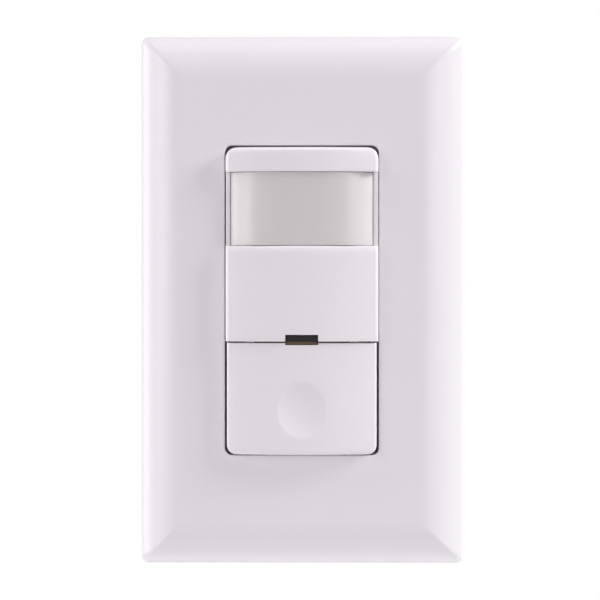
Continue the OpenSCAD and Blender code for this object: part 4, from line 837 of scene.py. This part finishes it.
bm = bmesh.new()
thread(bm, BOX_SCREW_BACK, 0.0)
dome = 2 * PAN_R
loft(bm, [cross(PAN_CROSS_ARMS[0], CROSS_TIP_HALF, PAN_TOP - CROSS_DEPTH),
          cross(PAN_CROSS_ARMS[1], CROSS_HALF, PAN_TOP - PAN_CROSS_SUNK)]
     + head_rings([(r, PAN_TOP - dome + math.sqrt(dome ** 2 - r ** 2)) for r in PAN_CROWN_RINGS])
     + head_rings([(PAN_R, PAN_SIDE_TOP), (PAN_R, SEAT + PAN_EDGE), (PAN_R - PAN_EDGE, SEAT),
                   (NECK_R, SEAT), (NECK_R, NECK_BACK)]))
screw_pair("box_screw_pair", bm, BOX_SCREW_Y, "box_screws")

bm = bmesh.new()
thread(bm, SUB_SCREW_BACK, SUB_THREAD_FRONT)
loft(bm, [cross(FLAT_CROSS_ARMS[0], CROSS_TIP_HALF, FLAT_TOP - CROSS_DEPTH),
          cross(FLAT_CROSS_ARMS[1], CROSS_HALF, FLAT_TOP)]
     + head_rings([(FLAT_IN_R, FLAT_TOP), (FLAT_R - FLAT_EDGE, FLAT_TOP), (FLAT_R, FLAT_TOP - FLAT_EDGE),
                   (SCREW_R, FLAT_TOP - FLAT_DEPTH), (SCREW_R - FLAT_NECK_IN, FLAT_TOP - FLAT_DEPTH)]))
screw_pair("sub_plate_screw_pair", bm, SUB_SCREW_Y, "sub_plate_screws")

# Sub-plate: a flat white moulding with slots, screwed to the strap, that the wall plate snaps on to.
# Its matt face is finely textured, and the wall plate hides it.
SUB_PLATE_EDGE = 0.2 * MM
sub_plate_plastic = grained("sub_plate_plastic", (0.74, 0.73, 0.73), (0.7, 0.69, 0.69), (0.42, 0.5), 1800, 60)
dress("sub_plate", sub_plate_plastic, SUB_PLATE_EDGE)

# Wall plate: a glossy white screwless cover, moulded in one piece with a curved border and a straight rim.
# Eight small hooks inside its rim snap behind the edge of the sub-plate.
# A notch in the lower rim takes the tip of a screwdriver to pry it off.
PLATE_W = 69.85
PLATE_H = 114.3
PLATE_FRONT = 6.8
PLATE_WALL = 2.0
INSIDE_CORNER = 0.6
RIM_FRONT = 2.6
RIM_CORNER = 1.6
BACK_EDGE = 0.15
BACK_CORNER = 1.5
CREASE_BELOW = 0.25
CREASE_IN = 0.06
CREASE_DROP = 0.05
BORDER = 9.0
BORDER_DROP = PLATE_FRONT - RIM_FRONT
BORDER_R = (BORDER ** 2 + BORDER_DROP ** 2) / (2 * BORDER_DROP)
BORDER_Z = PLATE_FRONT - BORDER_R
MITRE_LEAST = 0.7
MITRE_TAPER = 0.25
FACE_FLAT_INSET = 0.6
FACE_FLAT_CORNER = 0.8
OPENING_W = 33.3
OPENING_H = 66.9
OPENING_CORNER = 1.6
OPENING_EDGE = 0.35
LIP = 1.2
LIP_BACK = 3.6
PRY_HALF = 4.0
PRY_FRONT = 1.0
PRY_REACH = PLATE_WALL + 0.5
# Section of a hook: place from the outside of the plate, height above the wall
HOOK = ((-1.0, 0.15), (-2.4, 0.15), (-3.3, 0.95), (-3.3, 1.1), (-1.0, 1.1))
HOOK_L = 9.0
HOOK_X = 23.05
HOOK_Y = 29.7


def inset_row(inset, z, corner):
    return outline(PLATE_W - 2 * inset, PLATE_H - 2 * inset, corner, z)


def opening_row(grow, z):
    return outline(OPENING_W + 2 * grow, OPENING_H + 2 * grow, OPENING_CORNER + grow, z)


def in_lower_rim(p):
    return p.y < -PLATE_H / 2 + PRY_REACH and p.z < RIM_FRONT


white_plate = grained("white_plate", (0.812, 0.771, 0.817), (0.804, 0.763, 0.809), (0.285, 0.32),
                      1100, 40, 0.003 * MM)
bm = bmesh.new()
tilt = math.asin(BORDER / BORDER_R)
rows = [inset_row(BACK_EDGE, 0, BACK_CORNER), inset_row(0, BACK_EDGE, RIM_CORNER),
        inset_row(0, RIM_FRONT - CREASE_BELOW, RIM_CORNER),
        inset_row(CREASE_IN, RIM_FRONT - CREASE_DROP, RIM_CORNER - MITRE_TAPER * CREASE_IN)]
for a in even(tilt, 0, 22)[1:]:
    inset = BORDER - BORDER_R * math.sin(a)
    rows.append(inset_row(inset, BORDER_Z + BORDER_R * math.cos(a),
                          max(MITRE_LEAST, RIM_CORNER - MITRE_TAPER * inset)))
rows.append(inset_row(BORDER + FACE_FLAT_INSET, PLATE_FRONT, FACE_FLAT_CORNER))
for a in even(0, math.pi / 2, 5):
    rows.append(opening_row(OPENING_EDGE * (1 - math.sin(a)), PLATE_FRONT - OPENING_EDGE * (1 - math.cos(a))))
rows += [opening_row(0, LIP_BACK), opening_row(LIP, LIP_BACK), opening_row(LIP, PLATE_FRONT - PLATE_WALL)]
tilt = math.asin((BORDER - PLATE_WALL) / (BORDER_R - PLATE_WALL))
for a in even(0, tilt, 10):
    inset = BORDER - (BORDER_R - PLATE_WALL) * math.sin(a)
    rows.append(inset_row(inset, BORDER_Z + (BORDER_R - PLATE_WALL) * math.cos(a), INSIDE_CORNER))
rows.append(inset_row(PLATE_WALL, 0, INSIDE_CORNER))
loft(bm, rows, closed=True)

for place, normal in (((-PRY_HALF, 0, 0), (1, 0, 0)), ((PRY_HALF, 0, 0), (1, 0, 0)),
                      ((0, 0, PRY_FRONT), (0, 0, 1))):
    faces = [f for f in bm.faces if in_lower_rim(f.calc_center_median())]
    edges = list(dict.fromkeys(e for f in faces for e in f.edges))
    points = list(dict.fromkeys(v for f in faces for v in f.verts))
    bmesh.ops.bisect_plane(bm, geom=faces + edges + points, plane_co=place, plane_no=normal)
cut_out(bm, list(bm.verts), lambda p: in_lower_rim(p) and p.z < PRY_FRONT and abs(p.x) < PRY_HALF)
top_pair = [e for e in bm.edges if e.is_boundary and all(abs(v.co.z - PRY_FRONT) < MERGE for v in e.verts)]
bmesh.ops.contextual_create(bm, geom=top_pair)
bmesh.ops.holes_fill(bm, edges=[e for e in bm.edges if e.is_boundary], sides=0)

for side in (-1, 1):
    for y in (-HOOK_Y, HOOK_Y):
        prism(bm, [(side * (PLATE_W / 2 + x), y - HOOK_L / 2, z) for x, z in HOOK], (0, HOOK_L, 0))
    for x in (-HOOK_X, HOOK_X):
        prism(bm, [(x - HOOK_L / 2, side * (PLATE_H / 2 + y), z) for y, z in HOOK], (HOOK_L, 0, 0))
piece("wall_plate_cover", bm, white_plate, "base", "plate_plastic", "wall_plate")

# Studio: a pale floor well below the switch, soft lamps around it and a plain white surround.
# The camera stands in front, a touch to the right of the middle and above it, as in the photograph.
FLOOR_HALF = 0.45
FLOOR_Z = -0.125
CAMERA_PLACE = (0.008, -0.625, 0.008)
CAMERA_AIM = (-0.00049, 0, 0)
bm = bmesh.new()
bmesh.ops.create_grid(bm, x_segments=1, y_segments=1, size=FLOOR_HALF)
bmesh.ops.translate(bm, verts=bm.verts, vec=(0, 0, FLOOR_Z))
floor_mesh = bpy.data.meshes.new("floor")
bm.to_mesh(floor_mesh)
bm.free()
floor_mesh.materials.append(grained("pale_floor", (0.8, 0.8, 0.8), (0.79, 0.79, 0.79), (0.6, 0.7), 300, 20))
floor = bpy.data.objects.new("floor", floor_mesh)
bpy.context.scene.collection.objects.link(floor)


def aimed(place, target=(0, 0, 0)):
    return (Vector(target) - Vector(place)).to_track_quat("-Z", "Y").to_euler()


def lamp(name, place, width, height, power):
    light = bpy.data.lights.new(name, "AREA")
    light.shape = "RECTANGLE"
    light.size, light.size_y = width, height
    light.energy = power
    made = bpy.data.objects.new(name, light)
    made.location = place
    made.rotation_euler = aimed(place)
    bpy.context.scene.collection.objects.link(made)


lamp("lamp_key", (0.74, -0.15, 0.43), 0.3, 0.3, 6.58)
lamp("lamp_right", (0.5, -0.85, 0.25), 0.6, 0.6, 1.67)
lamp("lamp_left", (-0.86, -0.02, 0.05), 0.3, 0.8, 3.15)
lamp("lamp_left_front", (-0.6, -0.6, 0.2), 0.5, 0.6, 2.68)
lamp("lamp_top", (0.05, -0.08, 0.85), 0.8, 0.4, 1.41)
lamp("lamp_top_left", (-0.58, -0.12, 0.62), 0.4, 0.4, 1.54)
lamp("lamp_under", (0.0, 0.0, -0.118), 0.4, 0.02, 0.033)
lamp("lamp_back", (0.3, 0.9, 0.05), 0.6, 0.6, 2.0)

# The white surround is seen straight, in gloss and through clear pieces, and casts no light of its own
world = bpy.data.worlds.new("studio")
bpy.context.scene.world = world
world.use_nodes = True
tree = world.node_tree
tree.nodes.clear()
path = add(tree, "ShaderNodeLightPath")
seen = path.outputs["Is Camera Ray"]
for ray in ("Is Glossy Ray", "Is Transmission Ray"):
    either = add(tree, "ShaderNodeMath", operation="MAXIMUM")
    tree.links.new(seen, either.inputs[0])
    tree.links.new(path.outputs[ray], either.inputs[1])
    seen = either.outputs[0]
choose = add(tree, "ShaderNodeMixShader")
tree.links.new(seen, choose.inputs[0])
for strength, socket in ((0.0, choose.inputs[1]), (1.0, choose.inputs[2])):
    surround = add(tree, "ShaderNodeBackground")
    surround.inputs["Color"].default_value = (1, 1, 1, 1)
    surround.inputs["Strength"].default_value = strength
    tree.links.new(surround.outputs[0], socket)
tree.links.new(choose.outputs[0], add(tree, "ShaderNodeOutputWorld").inputs["Surface"])

view = bpy.data.cameras.new("camera")
view.lens = 171.8
view.sensor_width = 36
camera = bpy.data.objects.new("camera", view)
camera.location = CAMERA_PLACE
camera.rotation_euler = aimed(CAMERA_PLACE, CAMERA_AIM)
bpy.context.scene.collection.objects.link(camera)
bpy.context.scene.camera = camera
bpy.context.scene.view_settings.view_transform = "Standard"
